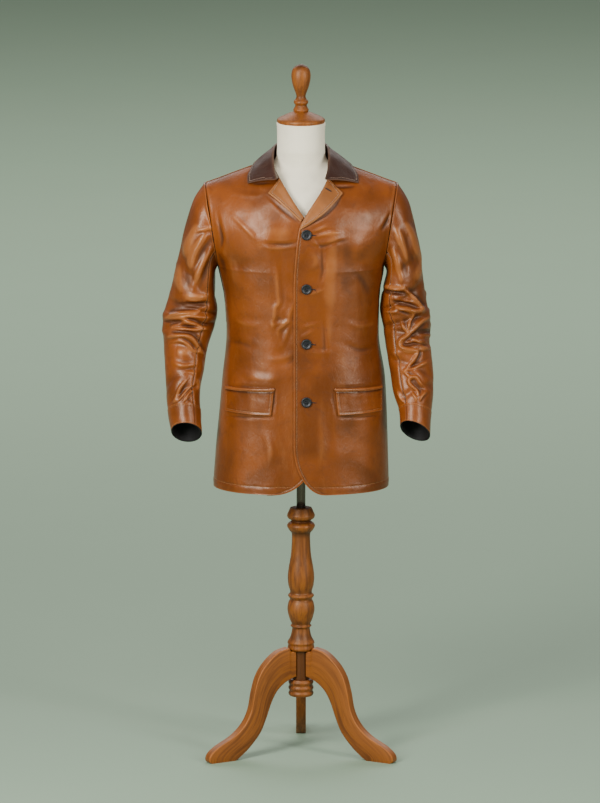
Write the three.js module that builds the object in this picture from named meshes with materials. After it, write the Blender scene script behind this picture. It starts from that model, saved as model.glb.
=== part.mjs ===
// A hip-length leather jacket with a notched lapel, worn on a limbless dress form
// that stands on a turned wooden column with three curved legs.
// Millimetres, +Z up, the jacket faces -Y, and +X is the wearer's left.
import * as THREE from "three";

// ---------------------------------------------------------------- driving sizes
const WALL = 2.0; // leather of a panel
const SEAM = 0.3; // space between two sewn pieces
const LIE = 0.8; // space under a piece that lies on a curved panel
const HEM_Z = 658;
const ARMPIT_Z = 1193;
const SHOULDER_Z = 1393; // where the shoulder seam meets the sleeve
const RIDGE_Z = 1479; // height that the shoulder lines reach if carried to the middle
const SIDE_Y = 8; // the side seams and shoulder seams lie this far behind the middle
const ARMHOLE = { bottomX: 198, topX: 229, frontDepth: 68, backDepth: 62 };
const ROUNDNESS = { front: 2.3, back: 2.5 };
const FRONT_EDGE = { overlap: 17, under: 38, cornerTop: 780, cornerWidth: 76 };
const GORGE = { x: 60, z: 1415 };
const NECK_SHIFT = 4; // the collar sits a little to the wearer's left
const BUTTONS = { x: 13, heights: [1289, 1158, 1024, 884], radius: 12.5, thickness: 4.2 };
const POCKET = { top: 917, welt: 8.5, flapBottom: 852, taper: 6, sideDrop: 7 };
const SLEEVE_COLUMNS = 20;
const STAND = { poleRadius: 10.8, columnTop: 601, formBottom: 752, neckTop: 1538.5, legBoard: 24 };

// Half widths and depths of the body from the hem up to the armpit.
const BODY_LEVELS = [
  { z: 655, right: 211, left: 211, front: 136, back: 120 },
  { z: 760, right: 203, left: 208, front: 133, back: 117 },
  { z: 852, right: 194, left: 205, front: 130, back: 112 },
  { z: 920, right: 188, left: 201, front: 128, back: 106 },
  { z: 1030, right: 178, left: 186, front: 124, back: 98 },
  { z: 1110, right: 182, left: 187, front: 127, back: 104 },
  { z: 1193, right: 198, left: 198, front: 130, back: 112 },
];

// The middle line of the front and of the back from the armpit level to the shoulder ridge.
const MIDDLE_LEVELS = [
  { z: 1193, front: 130, back: 112 },
  { z: 1250, front: 132, back: 118 },
  { z: 1320, front: 127, back: 119 },
  { z: 1365, front: 113, back: 112 },
  { z: 1405, front: 88, back: 97 },
  { z: 1438, front: 56, back: 73 },
  { z: 1464, front: 18, back: 36 },
  { z: 1479, front: -8, back: 8 },
];

// Rows of the body panels: heights below the armpit, and shares of the way above it.
const LOWER_ROWS = [658, 660.5, 667, 680, 702, 738, 780, 830, 880, 930, 985, 1040, 1095, 1150];
const UPPER_ROWS = [0, 0.05, 0.14, 0.26, 0.38, 0.5, 0.62, 0.74, 0.85, 0.93, 0.98, 1];
const NECK_POINT = { x: 75, z: 1451 }; // where the shoulder seam meets the collar
const BACK_NECK_DIP = 0.12; // how far the back's middle ends below the shoulder line

// Soft folds of the body: a trough or ridge from one place to another, across and up.
const BODY_FOLDS = [
  { face: "front", side: 1, x0: 186, z0: 1120, x1: 176, z1: 960, width: 20, depth: -5 },
  { face: "front", side: 1, x0: 120, z0: 840, x1: 132, z1: 665, width: 26, depth: -4 },
  { face: "front", side: -1, x0: 178, z0: 1090, x1: 150, z1: 940, width: 22, depth: -4 },
  { face: "front", side: -1, x0: 95, z0: 845, x1: 110, z1: 665, width: 26, depth: -4 },
  { face: "front", side: 1, x0: 60, z0: 1290, x1: 150, z1: 1250, width: 24, depth: 3 },
  { face: "front", side: -1, x0: 70, z0: 1270, x1: 150, z1: 1300, width: 24, depth: 3 },
  { face: "back", side: 1, x0: 150, z0: 1150, x1: 95, z1: 1010, width: 26, depth: -5 },
  { face: "back", side: -1, x0: 150, z0: 1140, x1: 100, z1: 1000, width: 26, depth: -5 },
  { face: "back", side: 1, x0: 90, z0: 860, x1: 110, z1: 665, width: 30, depth: -5 },
  { face: "back", side: -1, x0: 85, z0: 880, x1: 105, z1: 665, width: 30, depth: -5 },
];

// Rings down each sleeve after the armhole: the outer and the inner point as seen from
// the front, the middle's place front to back, half the depth, and how far the front of
// the ring is turned up, in degrees.
const RIGHT_SLEEVE = [
  { outX: 256, outZ: 1352, inX: 204, inZ: 1180, y: 6, depth: 71, pitch: 0 },
  { outX: 275, outZ: 1294, inX: 205, inZ: 1158, y: 8, depth: 73, pitch: 0 },
  { outX: 290, outZ: 1232, inX: 205, inZ: 1136, y: 9, depth: 72, pitch: 0 },
  { outX: 302, outZ: 1174, inX: 203, inZ: 1110, y: 10, depth: 70, pitch: 0 },
  { outX: 317, outZ: 1116, inX: 200, inZ: 1083, y: 10, depth: 68, pitch: 3 },
  { outX: 331, outZ: 1062, inX: 206, inZ: 1048, y: 5, depth: 66, pitch: 8 },
  { outX: 329, outZ: 1006, inX: 222, inZ: 1000, y: -7, depth: 62, pitch: 15 },
  { outX: 326, outZ: 950, inX: 232, inZ: 948, y: -25, depth: 58, pitch: 20 },
  { outX: 323, outZ: 892, inX: 242, inZ: 893, y: -46, depth: 55, pitch: 25 },
  { outX: 318, outZ: 847, inX: 240, inZ: 848, y: -64, depth: 53, pitch: 31 },
  { outX: 310, outZ: 805, inX: 238, inZ: 800, y: -82, depth: 52, pitch: 37 },
];
const LEFT_SLEEVE = [
  { outX: 255, outZ: 1352, inX: 204, inZ: 1180, y: 6, depth: 71, pitch: 0 },
  { outX: 272, outZ: 1294, inX: 201, inZ: 1158, y: 8, depth: 73, pitch: 0 },
  { outX: 285, outZ: 1232, inX: 195, inZ: 1136, y: 8, depth: 72, pitch: 0 },
  { outX: 291, outZ: 1174, inX: 191, inZ: 1110, y: 8, depth: 70, pitch: 0 },
  { outX: 300, outZ: 1112, inX: 189.5, inZ: 1083, y: 8, depth: 68, pitch: 3 },
  { outX: 310, outZ: 1058, inX: 196, inZ: 1046, y: 2, depth: 66, pitch: 8 },
  { outX: 310, outZ: 1004, inX: 203, inZ: 1000, y: -10, depth: 62, pitch: 15 },
  { outX: 316, outZ: 948, inX: 212, inZ: 948, y: -28, depth: 59, pitch: 20 },
  { outX: 317, outZ: 894, inX: 221, inZ: 893, y: -48, depth: 56, pitch: 25 },
  { outX: 311, outZ: 842, inX: 235, inZ: 852, y: -66, depth: 53, pitch: 30 },
  { outX: 308, outZ: 794, inX: 238, inZ: 818, y: -82, depth: 52, pitch: 35 },
];

// Sleeve folds: the ring share where one lies, the angle of its middle, how far it
// reaches round, how much it climbs over that reach, its width and its depth.
const RIGHT_SLEEVE_FOLDS = [
  { at: 0.3, angle: 60, reach: 70, climb: 0.05, width: 0.03, depth: -4 },
  { at: 0.47, angle: 90, reach: 95, climb: 0.01, width: 0.016, depth: -6 },
  { at: 0.515, angle: 70, reach: 100, climb: -0.02, width: 0.016, depth: 5 },
  { at: 0.56, angle: 100, reach: 95, climb: -0.03, width: 0.017, depth: -6 },
  { at: 0.61, angle: 60, reach: 80, climb: 0.03, width: 0.017, depth: 4 },
  { at: 0.67, angle: 110, reach: 80, climb: 0.04, width: 0.02, depth: -4 },
  { at: 0.77, angle: 70, reach: 90, climb: -0.05, width: 0.018, depth: -4 },
  { at: 0.84, angle: 90, reach: 80, climb: -0.05, width: 0.016, depth: -4 },
  { at: 0.55, angle: 250, reach: 60, climb: 0.03, width: 0.03, depth: -4 },
  { at: 0.3, angle: 215, reach: 60, climb: -0.04, width: 0.03, depth: -4 },
];
const LEFT_SLEEVE_FOLDS = [
  { at: 0.28, angle: 60, reach: 70, climb: -0.05, width: 0.03, depth: -4 },
  { at: 0.42, angle: 95, reach: 85, climb: 0.04, width: 0.018, depth: -5 },
  { at: 0.48, angle: 80, reach: 95, climb: -0.04, width: 0.016, depth: 5 },
  { at: 0.53, angle: 100, reach: 95, climb: 0.03, width: 0.016, depth: -6 },
  { at: 0.6, angle: 70, reach: 95, climb: -0.04, width: 0.018, depth: -5 },
  { at: 0.66, angle: 95, reach: 85, climb: 0.05, width: 0.018, depth: 4 },
  { at: 0.73, angle: 90, reach: 90, climb: -0.05, width: 0.018, depth: -5 },
  { at: 0.83, angle: 75, reach: 85, climb: 0.05, width: 0.017, depth: -4 },
  { at: 0.55, angle: 250, reach: 60, climb: -0.03, width: 0.03, depth: -4 },
  { at: 0.3, angle: 215, reach: 60, climb: 0.04, width: 0.03, depth: -4 },
];
const SLEEVE_ROWS = [
  0, 0.04, 0.09, 0.15, 0.22, 0.29, 0.36, 0.41, 0.44, 0.465, 0.49, 0.515, 0.54, 0.565, 0.59,
  0.62, 0.65, 0.68, 0.71, 0.745, 0.78, 0.81, 0.84, 0.87, 0.9,
];
const CUFF_ROWS = [0.9007, 0.935, 0.968, 1];
const SEAM_COLUMNS = { front: 8, back: 17 }; // the two long seams of a sleeve
const FIRST_COLUMN_ANGLE = -18;

// The collar from the middle of the back (0) to its front end (1): the line where it
// folds, and its foot and its free edge, given by distance across and height.
const COLLAR_LINES = [
  { at: 0, rollX: 0, rollY: 70, rollZ: 1489, edgeX: 0, edgeZ: 1430, footX: 0, footZ: 0 },
  { at: 0.17, rollX: 34, rollY: 61, rollZ: 1488, edgeX: 46, edgeZ: 1429, footX: 31, footZ: 0 },
  { at: 0.33, rollX: 56, rollY: 39, rollZ: 1484, edgeX: 84, edgeZ: 1426, footX: 56, footZ: 0 },
  { at: 0.5, rollX: 66, rollY: 8, rollZ: 1478, edgeX: 112, edgeZ: 1437, footX: 75, footZ: 1450 },
  { at: 0.66, rollX: 68, rollY: -26, rollZ: 1464, edgeX: 124, edgeZ: 1424, footX: 0, footZ: 1442 },
  { at: 0.83, rollX: 66, rollY: -60, rollZ: 1441, edgeX: 131, edgeZ: 1411, footX: 0, footZ: 1430 },
  { at: 1, rollX: 60, rollY: -94, rollZ: 1420, edgeX: 131, edgeZ: 1399, footX: 0, footZ: 1417 },
];
const COLLAR = { fold: 3.6, thickness: 2.2, columns: 24, tipShift: 5 };

// Rings of the dress form: half width, depths, and how square the ring is.
const FORM_LEVELS = [
  { z: 752, half: 140, front: 86, back: 80, square: 2.2 },
  { z: 760, half: 152, front: 96, back: 88, square: 2.2 },
  { z: 840, half: 168, front: 106, back: 94, square: 2.2 },
  { z: 930, half: 166, front: 108, back: 90, square: 2.2 },
  { z: 1035, half: 146, front: 98, back: 76, square: 2.2 },
  { z: 1120, half: 158, front: 108, back: 88, square: 2.2 },
  { z: 1200, half: 176, front: 116, back: 98, square: 2.3 },
  { z: 1290, half: 192, front: 112, back: 100, square: 2.2 },
  { z: 1350, half: 200, front: 96, back: 92, square: 1.9 },
  { z: 1380, half: 203, front: 84, back: 84, square: 1.6 },
  { z: 1397, half: 194, front: 70, back: 72, square: 1.35 },
  { z: 1410, half: 165, front: 64, back: 65, square: 1.28 },
  { z: 1423, half: 128, front: 60, back: 59, square: 1.3 },
  { z: 1434, half: 88, front: 53, back: 53, square: 1.35 },
  { z: 1445, half: 65, front: 53, back: 52, square: 1.7 },
  { z: 1460, half: 58.5, front: 55, back: 52, square: 1.95 },
  { z: 1480, half: 57, front: 55, back: 54, square: 2 },
  { z: 1516, half: 57, front: 57, back: 57, square: 2 },
  { z: 1538.5, half: 58.5, front: 58.5, back: 58.5, square: 2 },
];
const FORM_COLUMNS = 32;

// Turned profiles, radius at each height. A bead and a groove are a row each.
const COLUMN_PROFILE = [
  { z: 138, r: 24 }, { z: 139, r: 28 }, { z: 145, r: 30.5 }, { z: 151, r: 28 },
  { z: 158, r: 30.5 }, { z: 165, r: 28 }, { z: 172, r: 30.5 }, { z: 179, r: 27 },
  { z: 179.2, r: 19.8 }, { z: 251, r: 19.8 }, { z: 251.4, r: 29 }, { z: 256, r: 32.5 },
  { z: 265, r: 31 }, { z: 271, r: 32.4 }, { z: 284, r: 25.5 }, { z: 302, r: 21.5 },
  { z: 307, r: 22 }, { z: 311, r: 25.4 }, { z: 316, r: 22.5 }, { z: 328, r: 27.5 },
  { z: 350, r: 32.7 }, { z: 368, r: 30.5 }, { z: 377, r: 26.5 }, { z: 386, r: 31.4 },
  { z: 394, r: 26 }, { z: 412, r: 30.5 }, { z: 432, r: 32 }, { z: 455, r: 29.5 },
  { z: 485, r: 24.5 }, { z: 517, r: 22.3 }, { z: 538, r: 22.5 }, { z: 546, r: 28 },
  { z: 556, r: 33.5 }, { z: 563, r: 31 }, { z: 570, r: 23 }, { z: 576, r: 31 },
  { z: 583, r: 33.5 }, { z: 592, r: 30 }, { z: 601, r: 26 },
];
const FINIAL_PROFILE = [
  { z: 1565.3, r: 17 }, { z: 1570, r: 18.5 }, { z: 1576, r: 15.5 }, { z: 1581, r: 13.8 },
  { z: 1586, r: 17 }, { z: 1591, r: 17 }, { z: 1596, r: 13 }, { z: 1602, r: 11 },
  { z: 1610, r: 13 }, { z: 1625, r: 18.5 }, { z: 1640, r: 22 }, { z: 1654, r: 23 },
  { z: 1667, r: 20 }, { z: 1675, r: 13 },
];
const FINIAL_TOP = 1679;
const CAP_PROFILE = [
  { z: 1538.8, r: 55.5 }, { z: 1541.5, r: 57 }, { z: 1545.5, r: 57 }, { z: 1550, r: 53 },
  { z: 1559, r: 34 }, { z: 1563, r: 24 }, { z: 1565, r: 20 },
];

// The upper and the lower edge of a leg board: distance from the middle and height.
const LEG_TOP = [
  { r: 33.5, z: 251 }, { r: 38, z: 261 }, { r: 70, z: 253 }, { r: 102, z: 228 },
  { r: 123, z: 198 }, { r: 135, z: 160 }, { r: 144, z: 118 }, { r: 162, z: 85 },
  { r: 192, z: 59 }, { r: 236, z: 37 }, { r: 257, z: 20 }, { r: 260, z: 6 }, { r: 254, z: 0 },
];
const LEG_BOTTOM = [
  { r: 186, z: 0 }, { r: 172, z: 9 }, { r: 148, z: 28 }, { r: 119, z: 60 }, { r: 102, z: 95 },
  { r: 88, z: 131 }, { r: 72, z: 158 }, { r: 49, z: 177 }, { r: 24, z: 187 },
];
const LEG_DIRECTIONS = { right: 210, left: 330, back: 90 };

// ---------------------------------------------------------------- finishes
const FINISH = {
  leather: { color: 0xa45f2a, roughness: 0.38, metalness: 0 },
  facing: { color: 0xb0743f, roughness: 0.6, metalness: 0 },
  collar: { color: 0x4b2d26, roughness: 0.5, metalness: 0 },
  lining: { color: 0x17110f, roughness: 0.8, metalness: 0 },
  button: { color: 0x16181d, roughness: 0.3, metalness: 0 },
  canvas: { color: 0xe2ddcc, roughness: 0.85, metalness: 0 },
  wood: { color: 0x8a5528, roughness: 0.45, metalness: 0 },
  steel: { color: 0x2a211c, roughness: 0.35, metalness: 0.8 },
};

// ---------------------------------------------------------------- small maths
const mix = (a, b, t) => a + (b - a) * t;
const clamp = (t) => Math.min(1, Math.max(0, t));
const ease = (t) => clamp(t) ** 2 * (3 - 2 * clamp(t));
const bell = (t) => Math.exp(-t * t);
const radians = (degrees) => (degrees * Math.PI) / 180;

// A smooth value of one column between the rows of a table, by the column named key.
function along(rows, key, at, column) {
  const last = rows.length - 1;
  let i = 0;
  while (i < last - 1 && at > rows[i + 1][key]) i += 1;
  const span = rows[i + 1][key] - rows[i][key];
  const slope = (a, b) => (rows[b][column] - rows[a][column]) / (rows[b][key] - rows[a][key]);
  const before = slope(Math.max(0, i - 1), Math.max(0, i - 1) === i ? i + 1 : i);
  const here = slope(i, i + 1);
  const after = slope(Math.min(i + 1, last - 1), Math.min(i + 2, last));
  const limited = (a, b) => (a * b <= 0 ? 0 : (2 * a * b) / (a + b));
  const m0 = i === 0 ? here : limited(before, here);
  const m1 = i + 1 === last ? here : limited(here, after);
  const t = clamp((at - rows[i][key]) / span);
  const t2 = t * t;
  const t3 = t2 * t;
  return (2 * t3 - 3 * t2 + 1) * rows[i][column] + (t3 - 2 * t2 + t) * span * m0
    + (3 * t2 - 2 * t3) * rows[i + 1][column] + (t3 - t2) * span * m1;
}

// ---------------------------------------------------------------- meshes
function geometryFrom(points, faces) {
  const geometry = new THREE.BufferGeometry();
  const flat = points.flatMap((p) => [p.x, p.y, p.z]);
  let volume = 0;
  for (const [a, b, c] of faces) {
    volume += points[a].dot(new THREE.Vector3().crossVectors(points[b], points[c]));
  }
  const turned = volume < 0 ? faces.map(([a, b, c]) => [a, c, b]) : faces;
  geometry.setAttribute("position", new THREE.Float32BufferAttribute(flat, 3));
  geometry.setIndex(turned.flat());
  geometry.computeVertexNormals();
  return geometry;
}

// A closed wall between an outer and an inner grid of points. A ring's columns join up.
function wall(outer, inner, ring = false) {
  const rows = outer.length;
  const columns = outer[0].length;
  const points = [...outer.flat(), ...inner.flat()];
  const at = (layer, i, j) => layer * rows * columns + i * columns + (j % columns);
  const faces = [];
  const quad = (a, b, c, d) => faces.push([a, b, c], [a, c, d]);
  const across = ring ? columns : columns - 1;
  for (let i = 0; i < rows - 1; i += 1) {
    for (let j = 0; j < across; j += 1) {
      quad(at(0, i, j), at(0, i, j + 1), at(0, i + 1, j + 1), at(0, i + 1, j));
      quad(at(1, i, j), at(1, i + 1, j), at(1, i + 1, j + 1), at(1, i, j + 1));
    }
    if (!ring) {
      quad(at(0, i, 0), at(0, i + 1, 0), at(1, i + 1, 0), at(1, i, 0));
      const k = columns - 1;
      quad(at(0, i, k), at(1, i, k), at(1, i + 1, k), at(0, i + 1, k));
    }
  }
  for (let j = 0; j < across; j += 1) {
    quad(at(0, 0, j), at(1, 0, j), at(1, 0, j + 1), at(0, 0, j + 1));
    const k = rows - 1;
    quad(at(0, k, j), at(0, k, j + 1), at(1, k, j + 1), at(1, k, j));
  }
  return geometryFrom(points, faces);
}

// The direction square to a grid of points at each of them, towards the given hint.
function gridNormals(grid, hint, ring = false) {
  const rows = grid.length;
  const columns = grid[0].length;
  return grid.map((row, i) => row.map((point, j) => {
    const up = grid[Math.min(i + 1, rows - 1)][j].clone().sub(grid[Math.max(i - 1, 0)][j]);
    const left = ring ? (j + columns - 1) % columns : Math.max(j - 1, 0);
    const right = ring ? (j + 1) % columns : Math.min(j + 1, columns - 1);
    const across = row[right].clone().sub(row[left]);
    const normal = across.cross(up).normalize();
    return normal.dot(hint(point)) < 0 ? normal.negate() : normal;
  }));
}

function piece(name, geometry, finish) {
  const mesh = new THREE.Mesh(geometry, new THREE.MeshStandardMaterial(FINISH[finish]));
  mesh.name = name;
  return mesh;
}

// ---------------------------------------------------------------- the body's surface
const isFront = (face) => face === "front";
const outward = (face) => (isFront(face) ? -1 : 1);

function armhole(angle) {
  // angle 0 is the shoulder point, 90 the front, 180 the armpit and 270 the back
  const up = (1 + Math.cos(radians(angle))) / 2;
  const forward = Math.sin(radians(angle));
  const depth = forward > 0 ? ARMHOLE.frontDepth : ARMHOLE.backDepth;
  return new THREE.Vector3(
    mix(ARMHOLE.bottomX, ARMHOLE.topX, up),
    SIDE_Y - depth * forward,
    mix(ARMPIT_Z, SHOULDER_Z, up),
  );
}

function foldHeight(face, side, x, z) {
  let height = 0;
  for (const fold of BODY_FOLDS) {
    if (fold.face !== face || fold.side !== side) continue;
    const dx = fold.x1 - fold.x0;
    const dz = fold.z1 - fold.z0;
    const length = Math.hypot(dx, dz);
    const share = ((x - fold.x0) * dx + (z - fold.z0) * dz) / length ** 2;
    const off = ((x - fold.x0) * dz - (z - fold.z0) * dx) / length;
    const fade = ease(share / 0.35 + 0.5) * ease((1 - share) / 0.35 + 0.5);
    height += fold.depth * bell(off / fold.width) * fade;
  }
  return height;
}

// The middle and the side of one row. A row is a height up to the armpit, or beyond it
// the armpit height plus 0 to 1 for the share of the way up the armhole.
function rowEnds(face, side, row) {
  const key = isFront(face) ? "front" : "back";
  if (row.z !== undefined) {
    const half = along(BODY_LEVELS, "z", row.z, side > 0 ? "left" : "right");
    const depth = along(BODY_LEVELS, "z", row.z, key);
    return { half, endY: SIDE_Y, endZ: row.z, midY: outward(face) * depth, midZ: row.z, bend: 1 };
  }
  const angle = isFront(face) ? 180 - (Math.acos(1 - 2 * row.up) * 180) / Math.PI
    : 180 + (Math.acos(1 - 2 * row.up) * 180) / Math.PI;
  const end = armhole(angle);
  const midZ = mix(ARMPIT_Z, RIDGE_Z, row.up);
  const depth = along(MIDDLE_LEVELS, "z", midZ, key);
  return {
    half: end.x, endY: end.y, endZ: end.z, midY: outward(face) * depth, midZ,
    bend: 1 - 0.1 * ease(row.up / 0.15),
  };
}

// A point of the body at a distance from its middle. Distances are positive on the side
// that the panel is on, and a front reaches past the middle with negative ones.
function bodyPoint(face, side, row, distance) {
  const ends = rowEnds(face, side, row);
  const power = ROUNDNESS[isFront(face) ? "front" : "back"];
  const share = Math.min(1, Math.abs(distance) / ends.half);
  const rise = (t) => 1 - (1 - Math.min(1, t) ** power) ** (1 / power);
  const turn = rise(share * ends.bend) / rise(ends.bend);
  const z = mix(ends.midZ, ends.endZ, share);
  let y = mix(ends.midY, ends.endY, turn);
  const open = ease((1 - share) / 0.12);
  const near = row.up === undefined ? 1 : ease((1 - row.up) / 0.3);
  y += outward(face) * foldHeight(face, side, distance, z) * open * near;
  if (isFront(face) && side < 0) {
    // the front that goes under lies behind the other where they cross
    y += 3.2 * ease((78 - distance) / 38) * ease((1420 - z) / 60);
  }
  return new THREE.Vector3(side * distance, y, z);
}

// The row whose surface has the given height at a distance from the middle.
function rowAt(face, side, distance, z) {
  if (z <= ARMPIT_Z) return { z };
  let low = 0;
  let high = 1;
  for (let step = 0; step < 30; step += 1) {
    const up = (low + high) / 2;
    if (bodyPoint(face, side, { up }, distance).z < z) low = up;
    else high = up;
  }
  return { up: (low + high) / 2 };
}

function onBody(face, side, distance, z, lift = 0) {
  const at = (x, h) => bodyPoint(face, side, rowAt(face, side, x, h), x);
  const point = at(distance, z);
  const across = at(distance + 1, z).sub(at(distance - 1, z));
  const up = at(distance, z + 1).sub(at(distance, z - 1));
  const normal = across.cross(up).normalize();
  if (normal.y * outward(face) < 0) normal.negate();
  return point.addScaledVector(normal, lift);
}

const panelRows = () => [
  ...LOWER_ROWS.map((z) => ({ z })),
  ...UPPER_ROWS.map((up) => ({ up })),
];

// Shares across a row, closer together where the body turns to its side.
function columnShare(t, bend, power) {
  const limit = Math.asin(Math.min(1, bend ** (power / 2)));
  return Math.sin(limit * t) ** (2 / power) / bend;
}

// Inner points of a body panel: square to it, and along the seam's own plane at a seam.
function panelInner(grid, face, side) {
  const hint = () => new THREE.Vector3(0, outward(face), 0.2);
  const normals = gridNormals(grid, hint);
  const rows = panelRows();
  const last = grid[0].length - 1;
  const middle = armhole(0).add(armhole(180)).multiplyScalar(0.5);
  return grid.map((row, i) => row.map((point, j) => {
    const inward = normals[i][j].clone().negate();
    const atSide = side === 0 ? j === 0 || j === last : j === last;
    if (i === grid.length - 1 && Math.abs(point.x) > 70) {
      inward.set(-0.44 * Math.sign(point.x), 0, -0.9).normalize();
    }
    if (atSide && rows[i].z !== undefined) inward.set(-Math.sign(point.x), 0, 0);
    if (atSide && rows[i].up !== undefined) {
      inward.set(0, middle.y - point.y, middle.z - point.z).normalize();
    }
    return point.clone().addScaledVector(inward, WALL);
  }));
}

// ---------------------------------------------------------------- fronts and back
// How far from the middle a front begins: at its rounded lower corner, along its
// straight edge, along the fold of the lapel, and along the neck seam.
function frontStart(side, z) {
  const past = side > 0 ? FRONT_EDGE.overlap : FRONT_EDGE.under;
  if (z < FRONT_EDGE.cornerTop) {
    const drop = (FRONT_EDGE.cornerTop - z) / (FRONT_EDGE.cornerTop - HEM_Z);
    const width = FRONT_EDGE.cornerWidth + (side > 0 ? 0 : 26);
    return -past + width * (1 - Math.sqrt(Math.max(0, 1 - drop * drop)));
  }
  const rows = side > 0
    ? [{ z: 780, x: -17 }, { z: 1150, x: -17 }, { z: 1250, x: -11 }, { z: 1305, x: -3 },
      { z: 1330, x: 9 }, { z: GORGE.z, x: GORGE.x + NECK_SHIFT }, NECK_POINT]
    : [{ z: 780, x: -38 }, { z: 1150, x: -38 }, { z: 1290, x: -36 }, { z: 1310, x: -24 },
      { z: 1332, x: -6 }, { z: GORGE.z, x: GORGE.x - 9 }, NECK_POINT];
  return along(rows, "z", z, "x");
}

function frontPanel(side) {
  const columns = 10;
  const grid = panelRows().map((row, i) => {
    const ends = rowEnds("front", side, row);
    let start = frontStart(side, ends.midZ);
    for (let pass = 0; pass < 8; pass += 1) {
      start = frontStart(side, bodyPoint("front", side, row, start).z);
    }
    const points = [];
    for (let j = 0; j <= columns; j += 1) {
      const share = columnShare(j / columns, ends.bend, ROUNDNESS.front);
      const point = bodyPoint("front", side, row, mix(start, ends.half, share));
      if (j === columns && row.z !== undefined) point.y -= SEAM / 2;
      if (i === LOWER_ROWS.length + UPPER_ROWS.length - 1) point.y -= SEAM / 2;
      points.push(point);
    }
    return points;
  });
  return wall(grid, panelInner(grid, "front", side));
}

// The back's rows end lower in the middle, where the collar is sewn on.
const neckDip = (distance) => BACK_NECK_DIP * Math.max(0, 1 - (distance / NECK_POINT.x) ** 2.2);

function backPanel() {
  const half = 8;
  const rows = panelRows();
  const grid = rows.map((row, i) => {
    const points = [];
    for (let j = -half; j <= half; j += 1) {
      const side = j < 0 ? -1 : 1;
      const bend = rowEnds("back", side, row).bend;
      const share = columnShare(Math.abs(j) / half, bend, ROUNDNESS.back);
      let here = row;
      if (row.up > 0.5) {
        const distance = share * rowEnds("back", side, row).half;
        here = { up: row.up - neckDip(distance) * ease((row.up - 0.5) / 0.5) };
      }
      const reach = rowEnds("back", side, here).half;
      const point = bodyPoint("back", side, here, share * reach);
      if (Math.abs(j) === half && row.z !== undefined) point.y += SEAM / 2;
      if (i === rows.length - 1) point.y += SEAM / 2;
      points.push(point);
    }
    return points;
  });
  return wall(grid, panelInner(grid, "back", 0));
}

// ---------------------------------------------------------------- what lies on a front
// A patch on a front: at(a, b) gives a distance from the middle and a height.
function patch(side, rows, columns, at, low, high) {
  const layer = (lift) => Array.from({ length: rows + 1 }, (_, i) =>
    Array.from({ length: columns + 1 }, (_unused, j) => {
      const place = at(i / rows, j / columns);
      return onBody("front", side, place.x, place.z, lift(i / rows, j / columns));
    }));
  return wall(layer(high), layer(low));
}

function lapel(side) {
  const bottom = side > 0 ? { x: -2.5, z: 1306 } : { x: -4.5, z: 1331 };
  const lowEdge = side > 0 ? { x: -2, z: 1302.5 } : { x: 1, z: 1321 };
  const top = { x: frontStart(side, GORGE.z) + 0.5, z: GORGE.z - 1.5 };
  const tip = side > 0 ? { x: 97, z: 1379 } : { x: 76, z: 1381 };
  const at = (a, b) => {
    const fold = { z: mix(bottom.z, top.z, a), x: 0 };
    fold.x = a === 1 ? top.x : frontStart(side, fold.z) + 0.5;
    const belly = (side > 0 ? 5 : -2) * Math.sin(Math.PI * a);
    const edge = { x: mix(lowEdge.x, tip.x, a) + belly * 0.5, z: mix(lowEdge.z, tip.z, a) - belly };
    return { x: mix(fold.x, edge.x, b), z: mix(fold.z, edge.z, b) };
  };
  const low = (a, b) => LIE + 2.5 * ease((b - 0.5) / 0.5) * ease(a * 2);
  return patch(side, 8, 5, at, low, (a, b) => low(a, b) + 2.4);
}

const pocketStart = (side) => (side > 0 ? 83 : 66);
const pocketEnd = (side) => (side > 0 ? 191 : 178);

function pocketWelt(side) {
  const at = (a, b) => ({
    x: mix(pocketStart(side) - 2, pocketEnd(side) + 1, 1 - (1 - b) ** 1.25),
    z: POCKET.top - POCKET.welt * (1 - a) - POCKET.sideDrop * b,
  });
  return patch(side, 2, 9, at, () => LIE, (a) => LIE + 2 + 1.4 * Math.sin(Math.PI * a));
}

function pocketFlap(side) {
  const top = POCKET.top - POCKET.welt - 0.6;
  const at = (a, b) => {
    const taper = POCKET.taper * (1 - a);
    const x = mix(pocketStart(side) + taper, pocketEnd(side) - taper * 0.2, 1 - (1 - b) ** 1.25);
    return { x, z: mix(POCKET.flapBottom, top - POCKET.sideDrop * b, a) };
  };
  const low = (a) => LIE + 1.6 * (1 - a) ** 2;
  return patch(side, 3, 9, at, low, (a) => low(a) + 2.4);
}

function lathe(profile, segments) {
  const points = profile.map((row) => new THREE.Vector2(row.r, row.z));
  points.unshift(new THREE.Vector2(0, profile[0].z));
  points.push(new THREE.Vector2(0, profile[profile.length - 1].z));
  const vertices = [];
  const faces = [];
  const inner = points.slice(1, -1);
  inner.forEach((p) => {
    for (let k = 0; k < segments; k += 1) {
      const angle = (2 * Math.PI * k) / segments;
      vertices.push(new THREE.Vector3(p.x * Math.cos(angle), p.x * Math.sin(angle), p.y));
    }
  });
  const bottom = vertices.push(new THREE.Vector3(0, 0, points[0].y)) - 1;
  const top = vertices.push(new THREE.Vector3(0, 0, points[points.length - 1].y)) - 1;
  for (let k = 0; k < segments; k += 1) {
    const next = (k + 1) % segments;
    for (let i = 0; i < inner.length - 1; i += 1) {
      const a = i * segments;
      const b = a + segments;
      faces.push([a + k, a + next, b + next], [a + k, b + next, b + k]);
    }
    faces.push([bottom, next, k]);
    const ring = (inner.length - 1) * segments;
    faces.push([top, ring + k, ring + next]);
  }
  return geometryFrom(vertices, faces);
}

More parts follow.
